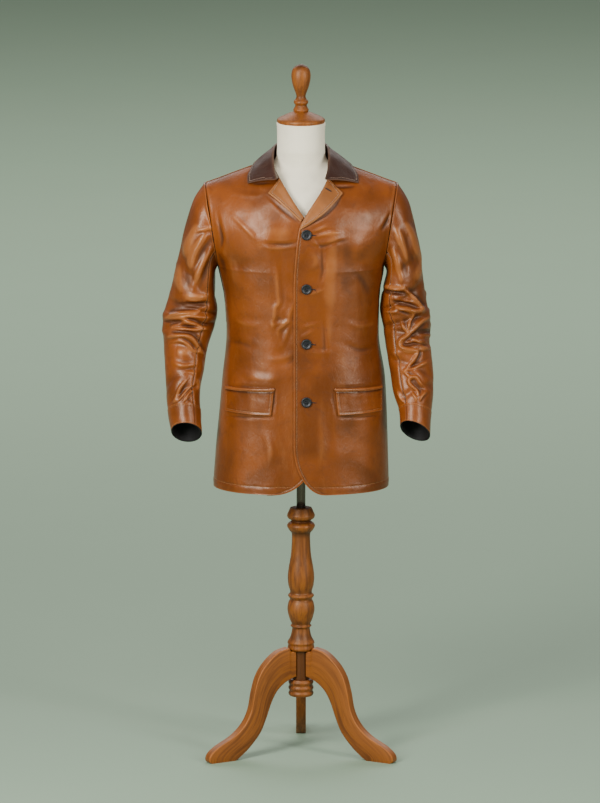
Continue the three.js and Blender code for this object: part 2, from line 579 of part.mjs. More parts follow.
function button(number) {
  const { radius, thickness } = BUTTONS;
  const profile = [
    { z: 0, r: radius * 0.5 }, { z: 1, r: radius * 0.94 }, { z: 2.4, r: radius },
    { z: thickness, r: radius * 0.9 }, { z: thickness - 0.2, r: radius * 0.72 },
    { z: thickness - 1.4, r: radius * 0.6 },
  ];
  const geometry = lathe(profile, 18);
  const height = BUTTONS.heights[number - 1];
  const seat = onBody("front", 1, BUTTONS.x, height);
  const normal = onBody("front", 1, BUTTONS.x, height, 1).sub(seat).normalize();
  const mesh = piece(`button_${number}`, geometry, "button");
  mesh.quaternion.setFromUnitVectors(new THREE.Vector3(0, 0, 1), normal);
  mesh.position.copy(seat.addScaledVector(normal, 0.4));
  return mesh;
}

// ---------------------------------------------------------------- collar
// The free edge of the collar, just above the body, or on its ridge at the shoulder.
function collarEdge(side, at) {
  const x = along(COLLAR_LINES, "at", at, "edgeX") + side * COLLAR.tipShift * at;
  const z = along(COLLAR_LINES, "at", at, "edgeZ");
  const ridge = RIDGE_Z - ((RIDGE_Z - SHOULDER_Z) / ARMHOLE.topX) * x;
  if (Math.abs(at - 0.5) < 0.01) {
    return new THREE.Vector3(side * x, SIDE_Y, ridge + COLLAR.thickness + 3);
  }
  const face = at < 0.5 ? "back" : "front";
  return onBody(face, side, x, Math.min(z, ridge - 0.5), COLLAR.thickness + LIE + 0.2);
}

function clearOfBody(point, side, lift) {
  const x = Math.abs(point.x);
  const ridge = RIDGE_Z - ((RIDGE_Z - SHOULDER_Z) / ARMHOLE.topX) * x;
  if (point.z > ridge + lift) return point;
  const face = point.y < SIDE_Y ? "front" : "back";
  const surface = onBody(face, side, x, Math.min(point.z, ridge - 0.5), lift);
  return outward(face) * (surface.y - point.y) > 0 ? surface : point;
}

// The collar's foot stands on the neck edge of the back and then of the front.
function collarFoot(side, at) {
  if (at < 0.5) {
    const x = along(COLLAR_LINES, "at", at, "footX");
    return bodyPoint("back", side, { up: 1 - neckDip(x) }, x);
  }
  const z = along(COLLAR_LINES.slice(3), "at", at, "footZ");
  return onBody("front", side, frontStart(side, z), z);
}

// One section of the collar: up the stand, over the fold and down to the free edge.
function collarSection(side, at) {
  const roll = new THREE.Vector3(
    side * along(COLLAR_LINES, "at", at, "rollX"),
    along(COLLAR_LINES, "at", at, "rollY"),
    along(COLLAR_LINES, "at", at, "rollZ"),
  );
  const edge = collarEdge(side, at);
  const away = edge.clone().sub(roll).setZ(0).normalize();
  const foot = collarFoot(side, at).addScaledVector(away, -0.4);
  foot.z += 1.0;
  const standTop = roll.clone().addScaledVector(away, -COLLAR.fold);
  standTop.z -= Math.min(COLLAR.fold * 1.2, (roll.z - foot.z) * 0.5);
  const fallTop = roll.clone().addScaledVector(away, COLLAR.fold);
  fallTop.z -= COLLAR.fold * 0.9;
  const section = [foot, standTop, roll.clone(), fallTop];
  for (const share of [0.33, 0.68]) {
    const point = fallTop.clone().lerp(edge, share);
    point.z += 2.5 * Math.sin(Math.PI * share);
    section.push(clearOfBody(point, side, COLLAR.thickness + LIE + 0.4));
  }
  section.push(edge);
  return section;
}

// The side of the collar that shows is the one away from the space under its fall.
function collar() {
  const outer = [];
  for (let k = -COLLAR.columns / 2; k <= COLLAR.columns / 2; k += 1) {
    const side = k < 0 ? -1 : 1;
    outer.push(collarSection(side, (2 * Math.abs(k)) / COLLAR.columns));
  }
  const inner = outer.map((section, i) => section.map((point, j) => {
    const before = section[Math.max(0, j - 1)];
    const after = section[Math.min(section.length - 1, j + 1)];
    const previous = outer[Math.max(0, i - 1)][j];
    const next = outer[Math.min(outer.length - 1, i + 1)][j];
    const normal = next.clone().sub(previous).cross(after.clone().sub(before)).normalize();
    return point.clone().addScaledVector(normal, -COLLAR.thickness);
  }));
  return wall(outer, inner);
}

// ---------------------------------------------------------------- sleeves
function sleeveRing(side, index, angle) {
  if (index === 0) {
    const point = armhole(angle);
    point.x += SEAM;
    return point;
  }
  const ring = (side > 0 ? LEFT_SLEEVE : RIGHT_SLEEVE)[index - 1];
  const outer = new THREE.Vector3(ring.outX, ring.y, ring.outZ);
  const inner = new THREE.Vector3(ring.inX, ring.y, ring.inZ);
  const middle = outer.clone().add(inner).multiplyScalar(0.5);
  const across = outer.sub(inner).multiplyScalar(0.5);
  const pitch = radians(ring.pitch);
  const forward = new THREE.Vector3(0, -Math.cos(pitch), Math.sin(pitch));
  return middle.addScaledVector(across, Math.cos(radians(angle)))
    .addScaledVector(forward, ring.depth * Math.sin(radians(angle)));
}

function sleeveFold(side, share, angle) {
  let height = 0;
  for (const fold of side > 0 ? LEFT_SLEEVE_FOLDS : RIGHT_SLEEVE_FOLDS) {
    const turn = ((angle - fold.angle + 540) % 360) - 180;
    const reach = turn / fold.reach;
    const middle = fold.at + fold.climb * reach;
    height += fold.depth * bell((share - middle) / fold.width) * ease((1 - Math.abs(reach)) * 1.6);
  }
  return height;
}

// A point of the sleeve: a smooth line through the rings at one angle, share 0 at the
// armhole and 1 at the cuff's end.
function sleevePoint(side, share, angle) {
  const rings = RIGHT_SLEEVE.length;
  const place = share * rings;
  const i = Math.min(rings - 1, Math.floor(place));
  const t = place - i;
  const p = [i - 1, i, i + 1, i + 2].map((k) =>
    sleeveRing(side, Math.max(0, Math.min(rings, k)), angle));
  const [t2, t3] = [t * t, t * t * t];
  const point = p[0].multiplyScalar(0.5 * (-t + 2 * t2 - t3))
    .addScaledVector(p[1], 0.5 * (2 - 5 * t2 + 3 * t3))
    .addScaledVector(p[2], 0.5 * (t + 4 * t2 - 3 * t3))
    .addScaledVector(p[3], 0.5 * (t3 - t2));
  point.x *= side;
  return point;
}

const sleeveAngle = (column) => FIRST_COLUMN_ANGLE + (360 * column) / SLEEVE_COLUMNS;

// Whole rings of a sleeve at the given shares, with the folds and the inner wall.
function sleeveTube(side, shares, depth = 0, thickness = WALL) {
  const grid = shares.map((share) => Array.from({ length: SLEEVE_COLUMNS }, (_, j) =>
    sleevePoint(side, share, sleeveAngle(j))));
  const middles = grid.map((row) => row.reduce((sum, p) => sum.add(p), new THREE.Vector3())
    .divideScalar(row.length));
  const normals = grid.map((row, i) => {
    const up = middles[Math.min(i + 1, grid.length - 1)].clone()
      .sub(middles[Math.max(i - 1, 0)]);
    return row.map((point, j) => {
      const across = row[(j + 1) % SLEEVE_COLUMNS].clone()
        .sub(row[(j + SLEEVE_COLUMNS - 1) % SLEEVE_COLUMNS]);
      const normal = across.cross(up).normalize();
      return normal.dot(point.clone().sub(middles[i])) < 0 ? normal.negate() : normal;
    });
  });
  const outer = grid.map((row, i) => row.map((point, j) => {
    const fold = shares[i] < 0.9 ? sleeveFold(side, shares[i], sleeveAngle(j)) : 0;
    return point.clone().addScaledVector(normals[i][j], fold - depth);
  }));
  const inner = outer.map((row, i) => row.map((point, j) => {
    if (shares[i] > 0) return point.clone().addScaledVector(normals[i][j], -thickness);
    const inward = new THREE.Vector3(0, SIDE_Y - point.y, (ARMPIT_Z + SHOULDER_Z) / 2 - point.z);
    return point.clone().addScaledVector(inward.normalize(), thickness);
  }));
  return { outer, inner };
}

// The part of a tube between two of its columns, drawn back by half a seam at each.
function strip(tube, from, to) {
  const cut = (grid) => grid.map((row) => {
    const points = [];
    for (let j = from; j <= to; j += 1) points.push(row[j % SLEEVE_COLUMNS].clone());
    const last = points.length - 1;
    points[0].addScaledVector(points[1].clone().sub(points[0]).normalize(), SEAM / 2);
    points[last].addScaledVector(points[last - 1].clone().sub(points[last]).normalize(), SEAM / 2);
    return points;
  });
  return wall(cut(tube.outer), cut(tube.inner));
}

function sleeve(side, name) {
  const tube = sleeveTube(side, SLEEVE_ROWS);
  const cuff = sleeveTube(side, CUFF_ROWS, -0.6, WALL + 0.6);
  const lining = sleeveTube(side, [0.91, 0.95, 0.99], WALL + 0.6, 1);
  const { front, back } = SEAM_COLUMNS;
  return [
    piece(`sleeve_top_${name}`, strip(tube, back, front + SLEEVE_COLUMNS), "leather"),
    piece(`sleeve_under_${name}`, strip(tube, front, back), "leather"),
    piece(`cuff_${name}`, wall(cuff.outer, cuff.inner, true), "leather"),
    piece(`cuff_lining_${name}`, wall(lining.outer, lining.inner, true), "lining"),
  ];
}

// ---------------------------------------------------------------- dress form and stand
function dressForm() {
  const vertices = [];
  const faces = [];
  FORM_LEVELS.forEach((level) => {
    for (let k = 0; k < FORM_COLUMNS; k += 1) {
      const angle = (2 * Math.PI * k) / FORM_COLUMNS;
      const [c, s] = [Math.cos(angle), Math.sin(angle)];
      const power = 2 / level.square;
      const x = level.half * Math.sign(c) * Math.abs(c) ** power;
      const depth = s < 0 ? level.front : level.back;
      const y = depth * Math.sign(s) * Math.abs(s) ** power;
      const middle = level.z > 1400 && level.z < 1470 ? SIDE_Y * 0.5 : 0;
      vertices.push(new THREE.Vector3(x, y + middle, level.z));
    }
  });
  const last = (FORM_LEVELS.length - 1) * FORM_COLUMNS;
  const bottom = vertices.push(new THREE.Vector3(0, 0, FORM_LEVELS[0].z)) - 1;
  const top = vertices.push(new THREE.Vector3(0, 0, STAND.neckTop)) - 1;
  for (let k = 0; k < FORM_COLUMNS; k += 1) {
    const next = (k + 1) % FORM_COLUMNS;
    for (let i = 0; i < FORM_LEVELS.length - 1; i += 1) {
      const a = i * FORM_COLUMNS;
      const b = a + FORM_COLUMNS;
      faces.push([a + k, a + next, b + next], [a + k, b + next, b + k]);
    }
    faces.push([bottom, next, k], [top, last + k, last + next]);
  }
  return geometryFrom(vertices, faces);
}

function legBoard() {
  const shape = new THREE.Shape();
  shape.moveTo(20.3, 251);
  const spline = (rows) => rows.map((row) => new THREE.Vector2(row.r, row.z));
  const top = new THREE.SplineCurve(spline(LEG_TOP.slice(1))).getPoints(26);
  const bottom = new THREE.SplineCurve(spline(LEG_BOTTOM)).getPoints(20);
  shape.lineTo(LEG_TOP[0].r, LEG_TOP[0].z);
  top.forEach((p) => shape.lineTo(p.x, Math.max(0, p.y)));
  bottom.forEach((p) => shape.lineTo(p.x, Math.max(0, p.y)));
  shape.lineTo(20.3, 187);
  shape.closePath();
  const geometry = new THREE.ExtrudeGeometry(shape, {
    depth: STAND.legBoard, bevelEnabled: false, steps: 1,
  });
  geometry.translate(0, 0, -STAND.legBoard / 2);
  geometry.rotateX(Math.PI / 2);
  return geometry;
}

function legs() {
  return Object.entries(LEG_DIRECTIONS).map(([name, direction]) => {
    const mesh = piece(`leg_${name}`, legBoard(), "wood");
    mesh.rotation.z = radians(direction);
    return mesh;
  });
}

function stand() {
  const pole = [
    { z: STAND.columnTop + SEAM, r: STAND.poleRadius },
    { z: STAND.formBottom - SEAM, r: STAND.poleRadius },
  ];
  return [
    piece("form", dressForm(), "canvas"),
    piece("neck_cap", lathe(CAP_PROFILE, 28), "wood"),
    piece("finial", lathe([...FINIAL_PROFILE, { z: FINIAL_TOP, r: 4 }], 20), "wood"),
    piece("pole", lathe(pole, 20), "steel"),
    piece("column", lathe(COLUMN_PROFILE, 24), "wood"),
    ...legs(),
  ];
}

// ---------------------------------------------------------------- the whole part
function jacket() {
  return [
    piece("front_left", frontPanel(1), "leather"),
    piece("front_right", frontPanel(-1), "leather"),
    piece("back", backPanel(), "leather"),
    ...sleeve(1, "left"),
    ...sleeve(-1, "right"),
    piece("collar", collar(), "collar"),
    piece("lapel_left", lapel(1), "facing"),
    piece("lapel_right", lapel(-1), "facing"),
    piece("pocket_welt_left", pocketWelt(1), "leather"),
    piece("pocket_welt_right", pocketWelt(-1), "leather"),
    piece("pocket_flap_left", pocketFlap(1), "leather"),
    piece("pocket_flap_right", pocketFlap(-1), "leather"),
    ...BUTTONS.heights.map((_, i) => button(i + 1)),
  ];
}

const part = new THREE.Group();
part.add(...jacket(), ...stand());
part.updateMatrixWorld(true);

// The origin is on the floor under the middle of the whole part's box.
const box = new THREE.Box3().setFromObject(part, true);
part.position.set(-(box.min.x + box.max.x) / 2, -(box.min.y + box.max.y) / 2, 0);

export default part;
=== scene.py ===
"""A leather jacket with a notched lapel on a limbless dress form, as it shows."""
import math

import bpy
import numpy as np
from bpy.props import FloatProperty, FloatVectorProperty, IntProperty, PointerProperty
from bpy.types import Operator, Panel, PropertyGroup
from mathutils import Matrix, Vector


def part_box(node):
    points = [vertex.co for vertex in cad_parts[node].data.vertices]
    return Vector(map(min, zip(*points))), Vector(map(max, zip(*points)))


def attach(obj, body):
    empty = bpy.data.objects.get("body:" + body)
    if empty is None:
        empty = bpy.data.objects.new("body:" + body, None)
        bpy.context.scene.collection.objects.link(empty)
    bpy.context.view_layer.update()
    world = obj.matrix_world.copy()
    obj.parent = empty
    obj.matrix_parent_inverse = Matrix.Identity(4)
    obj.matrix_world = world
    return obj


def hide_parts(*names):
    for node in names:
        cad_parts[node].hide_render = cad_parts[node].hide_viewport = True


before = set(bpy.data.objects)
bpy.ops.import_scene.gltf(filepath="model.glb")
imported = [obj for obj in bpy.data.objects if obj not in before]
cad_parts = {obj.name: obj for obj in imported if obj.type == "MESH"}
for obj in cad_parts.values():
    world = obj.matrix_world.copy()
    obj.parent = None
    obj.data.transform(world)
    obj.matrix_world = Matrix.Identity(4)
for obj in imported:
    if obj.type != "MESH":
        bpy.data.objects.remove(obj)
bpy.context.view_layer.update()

bl_info = {
    "name": "Leather Jacket on a Dress Form",
    "version": (1, 0, 0),
    "blender": (4, 5, 0),
    "location": "3D View > Sidebar > Jacket",
    "description": "Builds a leather jacket on a dress form stand, piece by piece",
    "category": "Object",
}

# ------------------------------------------------------------------ cutting sizes, mm
# The stand's axis is the middle of every table: x to the wearer's left, -y forwards.
WALL = 2.0
SEAM = 0.3
LIE = 0.8
HEM_Z = 658.0
ARMPIT_Z = 1193.0
SHOULDER_Z = 1393.0
RIDGE_Z = 1479.0
SIDE_Y = 8.0
ARMHOLE = {"bottom": 198.0, "top": 229.0, "front": 68.0, "back": 62.0}
ROUNDNESS = {"front": 2.3, "back": 2.5}
OUTWARD = {"front": (0, -1, 0), "back": (0, 1, 0)}
GORGE = (60.0, 1415.0)
NECK_SHIFT = 4.0
NECK_POINT = (75.0, 1451.0)
BACK_NECK_DIP = 0.12
BUTTON_X = 13.0
BUTTON_HEIGHTS = (1289.0, 1158.0, 1024.0, 884.0)
POCKET = {"top": 917.0, "welt": 8.5, "flap": 852.0, "taper": 6.0, "drop": 7.0}
COLLAR_FOLD = 3.6
COLLAR_WALL = 2.2
EDGE_STITCH = 6.5  # stitching lies this far inside an edge
SMALL_STITCH = 5.5  # and this far on the collar, lapels and cuffs
HEM_STITCH = 19.0
# heights of a panel's first rows over the hem, close together round its stitching
HEM_ROWS = [0, 0.6, 1.4, 2.6, 4.5, 7, 10, 13, 15.5, 17, 18, 19, 20, 21, 22.5, 25, 28.5, 33]
HEM_ROW = HEM_ROWS.index(HEM_STITCH)
SLEEVE_LENGTH = 620.0
CUFF_START = 0.9  # share of the way down a sleeve
THICK = 2.4  # a doubled piece, with its turned edges
PICTURE_HEIGHT = 803

# height, half width right and left, depth front and back
BODY = np.array([
    (655, 211, 211, 136, 120), (760, 203, 208, 133, 117), (852, 194, 205, 130, 112),
    (920, 188, 201, 128, 106), (1030, 178, 186, 124, 98), (1110, 182, 187, 127, 104),
    (1193, 198, 198, 130, 112)], float)
# height of the middle line, depth front and back
MIDDLE = np.array([
    (1193, 130, 112), (1250, 132, 118), (1320, 127, 119), (1365, 113, 112), (1405, 88, 97),
    (1438, 56, 73), (1464, 18, 36), (1479, -8, 8)], float)
# main folds of the body: across and up at both ends, width and depth
BODY_FOLDS = {
    ("front", 1): [(186, 1120, 176, 960, 20, -5), (120, 840, 132, 665, 26, -4),
                   (60, 1290, 150, 1250, 24, 3)],
    ("front", -1): [(178, 1090, 150, 940, 22, -4), (95, 845, 110, 665, 26, -4),
                    (70, 1270, 150, 1300, 24, 3)],
    ("back", 1): [(150, 1150, 95, 1010, 26, -5), (90, 860, 110, 665, 30, -5)],
    ("back", -1): [(150, 1140, 100, 1000, 26, -5), (85, 880, 105, 665, 30, -5)],
}
# sleeve rings: outer x and z, inner x and z, middle y, half depth, pitch in degrees
SLEEVE = {
    -1: np.array([
        (256, 1352, 204, 1180, 6, 71, 0), (275, 1294, 205, 1158, 8, 73, 0),
        (290, 1232, 205, 1136, 9, 72, 0), (302, 1174, 203, 1110, 10, 70, 0),
        (317, 1116, 200, 1083, 10, 68, 3), (331, 1062, 206, 1048, 5, 66, 8),
        (329, 1006, 222, 1000, -7, 62, 15), (326, 950, 232, 948, -25, 58, 20),
        (323, 892, 242, 893, -46, 55, 25), (318, 847, 240, 848, -64, 53, 31),
        (310, 805, 238, 800, -82, 52, 37)], float),
    1: np.array([
        (255, 1352, 204, 1180, 6, 71, 0), (272, 1294, 201, 1158, 8, 73, 0),
        (285, 1232, 195, 1136, 8, 72, 0), (291, 1174, 191, 1110, 8, 70, 0),
        (300, 1112, 189.5, 1083, 8, 68, 3), (310, 1058, 196, 1046, 2, 66, 8),
        (310, 1004, 203, 1000, -10, 62, 15), (316, 948, 212, 948, -28, 59, 20),
        (317, 894, 221, 893, -48, 56, 25), (311, 842, 235, 852, -66, 53, 30),
        (308, 794, 238, 818, -82, 52, 35)], float),
}
# main sleeve folds: share of the way down, angle, reach, climb, width, depth
SLEEVE_FOLDS = {
    -1: [(0.3, 60, 70, 0.05, 0.03, -4), (0.47, 90, 95, 0.01, 0.016, -6),
         (0.515, 70, 100, -0.02, 0.016, 5), (0.56, 100, 95, -0.03, 0.017, -6),
         (0.61, 60, 80, 0.03, 0.017, 4), (0.67, 110, 80, 0.04, 0.02, -4),
         (0.77, 70, 90, -0.05, 0.018, -4), (0.84, 90, 80, -0.05, 0.016, -4),
         (0.55, 250, 60, 0.03, 0.03, -4), (0.3, 215, 60, -0.04, 0.03, -4)],
    1: [(0.28, 60, 70, -0.05, 0.03, -4), (0.42, 95, 85, 0.04, 0.018, -5),
        (0.48, 80, 95, -0.04, 0.016, 5), (0.53, 100, 95, 0.03, 0.016, -6),
        (0.6, 70, 95, -0.04, 0.018, -5), (0.66, 95, 85, 0.05, 0.018, 4),
        (0.73, 90, 90, -0.05, 0.018, -5), (0.83, 75, 85, 0.05, 0.017, -4),
        (0.55, 250, 60, -0.03, 0.03, -4), (0.3, 215, 60, 0.04, 0.03, -4)],
}
SLEEVE_SEAMS = (126.0, 288.0)  # angles of the two long seams
# collar, middle of the back to the front end: share, fold x y z, edge x z, foot x z
COLLAR = np.array([
    (0, 0, 70, 1489, 0, 1430, 0, 0), (0.17, 34, 61, 1488, 46, 1429, 31, 0),
    (0.33, 56, 39, 1484, 84, 1426, 56, 0), (0.5, 66, 8, 1478, 112, 1437, 75, 1450),
    (0.66, 68, -26, 1464, 124, 1424, 0, 1442), (0.83, 66, -60, 1441, 131, 1411, 0, 1430),
    (1, 60, -94, 1420, 131, 1399, 0, 1417)], float)
# dress form rings: height, half width, depth front and back, squareness
FORM = np.array([
    (752, 140, 86, 80, 2.2), (760, 152, 96, 88, 2.2), (840, 168, 106, 94, 2.2),
    (930, 166, 108, 90, 2.2), (1035, 146, 98, 76, 2.2), (1120, 158, 108, 88, 2.2),
    (1200, 176, 116, 98, 2.3), (1290, 192, 112, 100, 2.2), (1350, 200, 96, 92, 1.9),
    (1380, 203, 84, 84, 1.6), (1397, 194, 70, 72, 1.35), (1410, 165, 64, 65, 1.28),
    (1423, 128, 60, 59, 1.3), (1434, 88, 53, 53, 1.35), (1445, 65, 53, 52, 1.7),
    (1460, 58.5, 55, 52, 1.95), (1480, 57, 55, 54, 2), (1516, 57, 57, 57, 2),
    (1538.5, 58.5, 58.5, 58.5, 2)], float)
# turned profiles: height and radius
COLUMN = [
    (138, 24), (139, 28), (145, 30.5), (151, 28), (158, 30.5), (165, 28), (172, 30.5),
    (179, 27), (179.2, 19.8), (251, 19.8), (251.4, 29), (256, 32.5), (265, 31), (271, 32.4),
    (284, 25.5), (302, 21.5), (307, 22), (311, 25.4), (316, 22.5), (328, 27.5), (350, 32.7),
    (368, 30.5), (377, 26.5), (386, 31.4), (394, 26), (412, 30.5), (432, 32), (455, 29.5),
    (485, 24.5), (517, 22.3), (538, 22.5), (546, 28), (556, 33.5), (563, 31), (570, 23),
    (576, 31), (583, 33.5), (592, 30), (601, 26)]
FINIAL = [
    (1565.3, 17), (1570, 18.5), (1576, 15.5), (1581, 13.8), (1586, 17), (1591, 17),
    (1596, 13), (1602, 11), (1610, 13), (1625, 18.5), (1640, 22), (1654, 23), (1667, 20),
    (1675, 13), (1679, 4)]
CAP = [(1538.8, 55.5), (1541.5, 57), (1545.5, 57), (1550, 53), (1559, 34), (1563, 24), (1565, 20)]
LEG_TOP = [
    (38, 261), (70, 253), (102, 228), (123, 198), (135, 160), (144, 118), (162, 85),
    (192, 59), (236, 37), (257, 20), (260, 6), (254, 0)]
LEG_BOTTOM = [
    (24, 187), (49, 177), (72, 158), (88, 131), (102, 95), (119, 60), (148, 28), (172, 9),
    (186, 0)]
LEG_DIRECTIONS = {"right": 210, "left": 330, "back": 90}
LEG_BOARD = 24.0

# Creases pressed into the leather. They are drawn on squared paper, as the jacket
# looks from 20 m away and 11 degrees above: squares of 2.4 mm, columns to the right and
# rows down, with the stand's axis on column 301 and a height of 861 mm on row 401.5. The
# back's are drawn from behind. Each is its points, its width in squares and its height in
# mm, a trough below 0. A ridge has a shallow trough on the left of the way it is drawn.
TILT = math.radians(11)
SQUARE = 2.4
BODY_CREASES = {
    ("front", -1): [
        ([(228, 193), (238, 194), (252, 196), (262, 195)], 2.2, 1.3),
        ([(262, 231), (277, 232), (294, 233)], 8, 2.2),
        ([(232, 215), (240, 223), (250, 233), (256, 241)], 2.4, 2.2),
        ([(262, 243), (275, 244), (286, 244.5), (298, 242)], 2, -1.7),
        ([(264, 247.5), (275, 248), (286, 248), (298, 247)], 1.7, 1.8),
        ([(276, 258), (277, 280), (278, 295), (278.5, 303), (275, 308), (274, 318), (272, 325),
           (276, 334)], 2.2, 2.6),
        ([(296, 300), (290, 312), (288, 320), (283, 326), (278, 331), (281, 347)], 2, 3),
        ([(270, 325.5), (281, 323), (293, 322)], 1.9, 2),
        ([(291, 321), (287, 333), (282, 347)], 1.9, 1.9),
        ([(231, 252), (233, 270), (236, 286)], 3, 1.6),
        ([(214, 250), (222, 262), (226, 284)], 3, -2),
        ([(217, 212), (220, 228), (222, 240), (220, 254)], 2, -2.4),
        ([(296, 352), (284, 358), (268, 360)], 3, 1.5),
        ([(232, 318), (246, 324), (262, 326)], 3, 1.6),
        ([(222, 340), (240, 343), (258, 350)], 3.2, -1.6),
        ([(238, 372), (262, 379), (284, 378)], 3.4, 1.3),
        ([(262, 428), (270, 450), (266, 474)], 4, 1.6),
        # the last five are troughs just outside the lapel, collar, pocket flap and welt edges, for
        # the shade under them; the leather paints them darker as shade
        ([(301, 225), (291, 217), (279, 207), (268, 196)], 1.5, -2.4),
        ([(247, 183.5), (262, 183), (278, 182)], 1.6, -2.6),
        ([(222, 415.5), (246, 417), (275, 417)], 1.2, -2.4),
        ([(274.5, 389), (274, 402), (272.5, 418)], 1.1, -2.2),
        ([(221, 386), (248, 386.5), (276, 388)], 1.2, -1.8)],
    ("front", 1): [
        ([(312, 232), (320, 229), (328, 225)], 1.4, 1.8),
        ([(312, 238), (322, 235), (332, 233), (342, 233)], 1.6, 2.2),
        ([(311, 239), (315, 243), (320, 249)], 1.4, 1.8),
        ([(312, 246.5), (325, 246), (335, 243), (347, 240)], 1.8, -2.3),
        ([(334, 222), (333, 250), (331, 290), (330, 345)], 7, 2.6),
        ([(311, 251), (316, 261), (309, 272)], 4, 1.8),
        ([(322, 248), (322, 262), (323, 272), (319, 285)], 2.2, -2.2),
        ([(323, 316), (324.5, 335), (325, 358)], 2.2, -2),
        ([(306, 295), (315, 292.5), (324, 289)], 1.5, 2),
        ([(302, 327.5), (310, 325), (320, 323)], 1.5, 1.8),
        ([(300, 338), (308, 333.5), (314, 330)], 1.4, 1.8),
        ([(306, 350), (318, 353), (332, 352)], 2, 1.6),
        ([(394, 212), (391, 225), (389, 240), (388.5, 252)], 1.6, 1.8),
        ([(388, 259), (384, 270), (381.5, 280), (380, 293)], 1.9, 2.2),
        ([(381, 232), (387, 222), (392, 212)], 2, -2.6),
        ([(346, 322), (360, 326), (378, 322)], 3, 1.8),
        ([(344, 343), (360, 350), (378, 346)], 3, -1.9),
        ([(352, 268), (364, 282), (372, 300)], 4, -1.8),
        ([(318, 408), (322, 440), (320, 470)], 4, 1.6),
        # the last five are troughs just outside the lapel, collar, pocket flap and welt edges, for
        # the shade under them; the leather paints them darker as shade
        ([(300, 230), (313, 223), (326, 215), (336, 205), (343, 194)], 1.6, -2.8),
        ([(330, 186), (342, 187), (357, 186)], 1.6, -2.6),
        ([(336, 417), (358, 417), (382, 415.5)], 1.2, -2.4),
        ([(333, 389), (334, 402), (337, 418)], 1.2, -2.2),
        ([(333, 388), (358, 387), (382, 386)], 1.2, -1.8)],
    ("back", -1): [
        ([(374, 250), (354, 288), (324, 320)], 5, 2.2),
        ([(376, 300), (354, 316), (330, 318)], 3, 1.8),
        ([(318, 330), (340, 341), (372, 336)], 3.4, -1.6),
        ([(332, 214), (352, 240), (358, 272)], 4.5, 1.5),
        ([(340, 380), (350, 420), (346, 470)], 5, 2),
        ([(312, 344), (320, 372), (318, 402)], 4, -1.4)],
    ("back", 1): [
        ([(230, 262), (252, 296), (286, 328)], 5, -2),
        ([(226, 312), (250, 322), (276, 317)], 3.2, 1.9),
        ([(288, 346), (262, 352), (232, 340)], 3, 1.5),
        ([(262, 208), (250, 236), (246, 266)], 4.5, -1.4),
        ([(262, 384), (254, 424), (258, 472)], 5, 2),
        ([(291, 350), (285, 380), (288, 410)], 4, 1.3)],
}
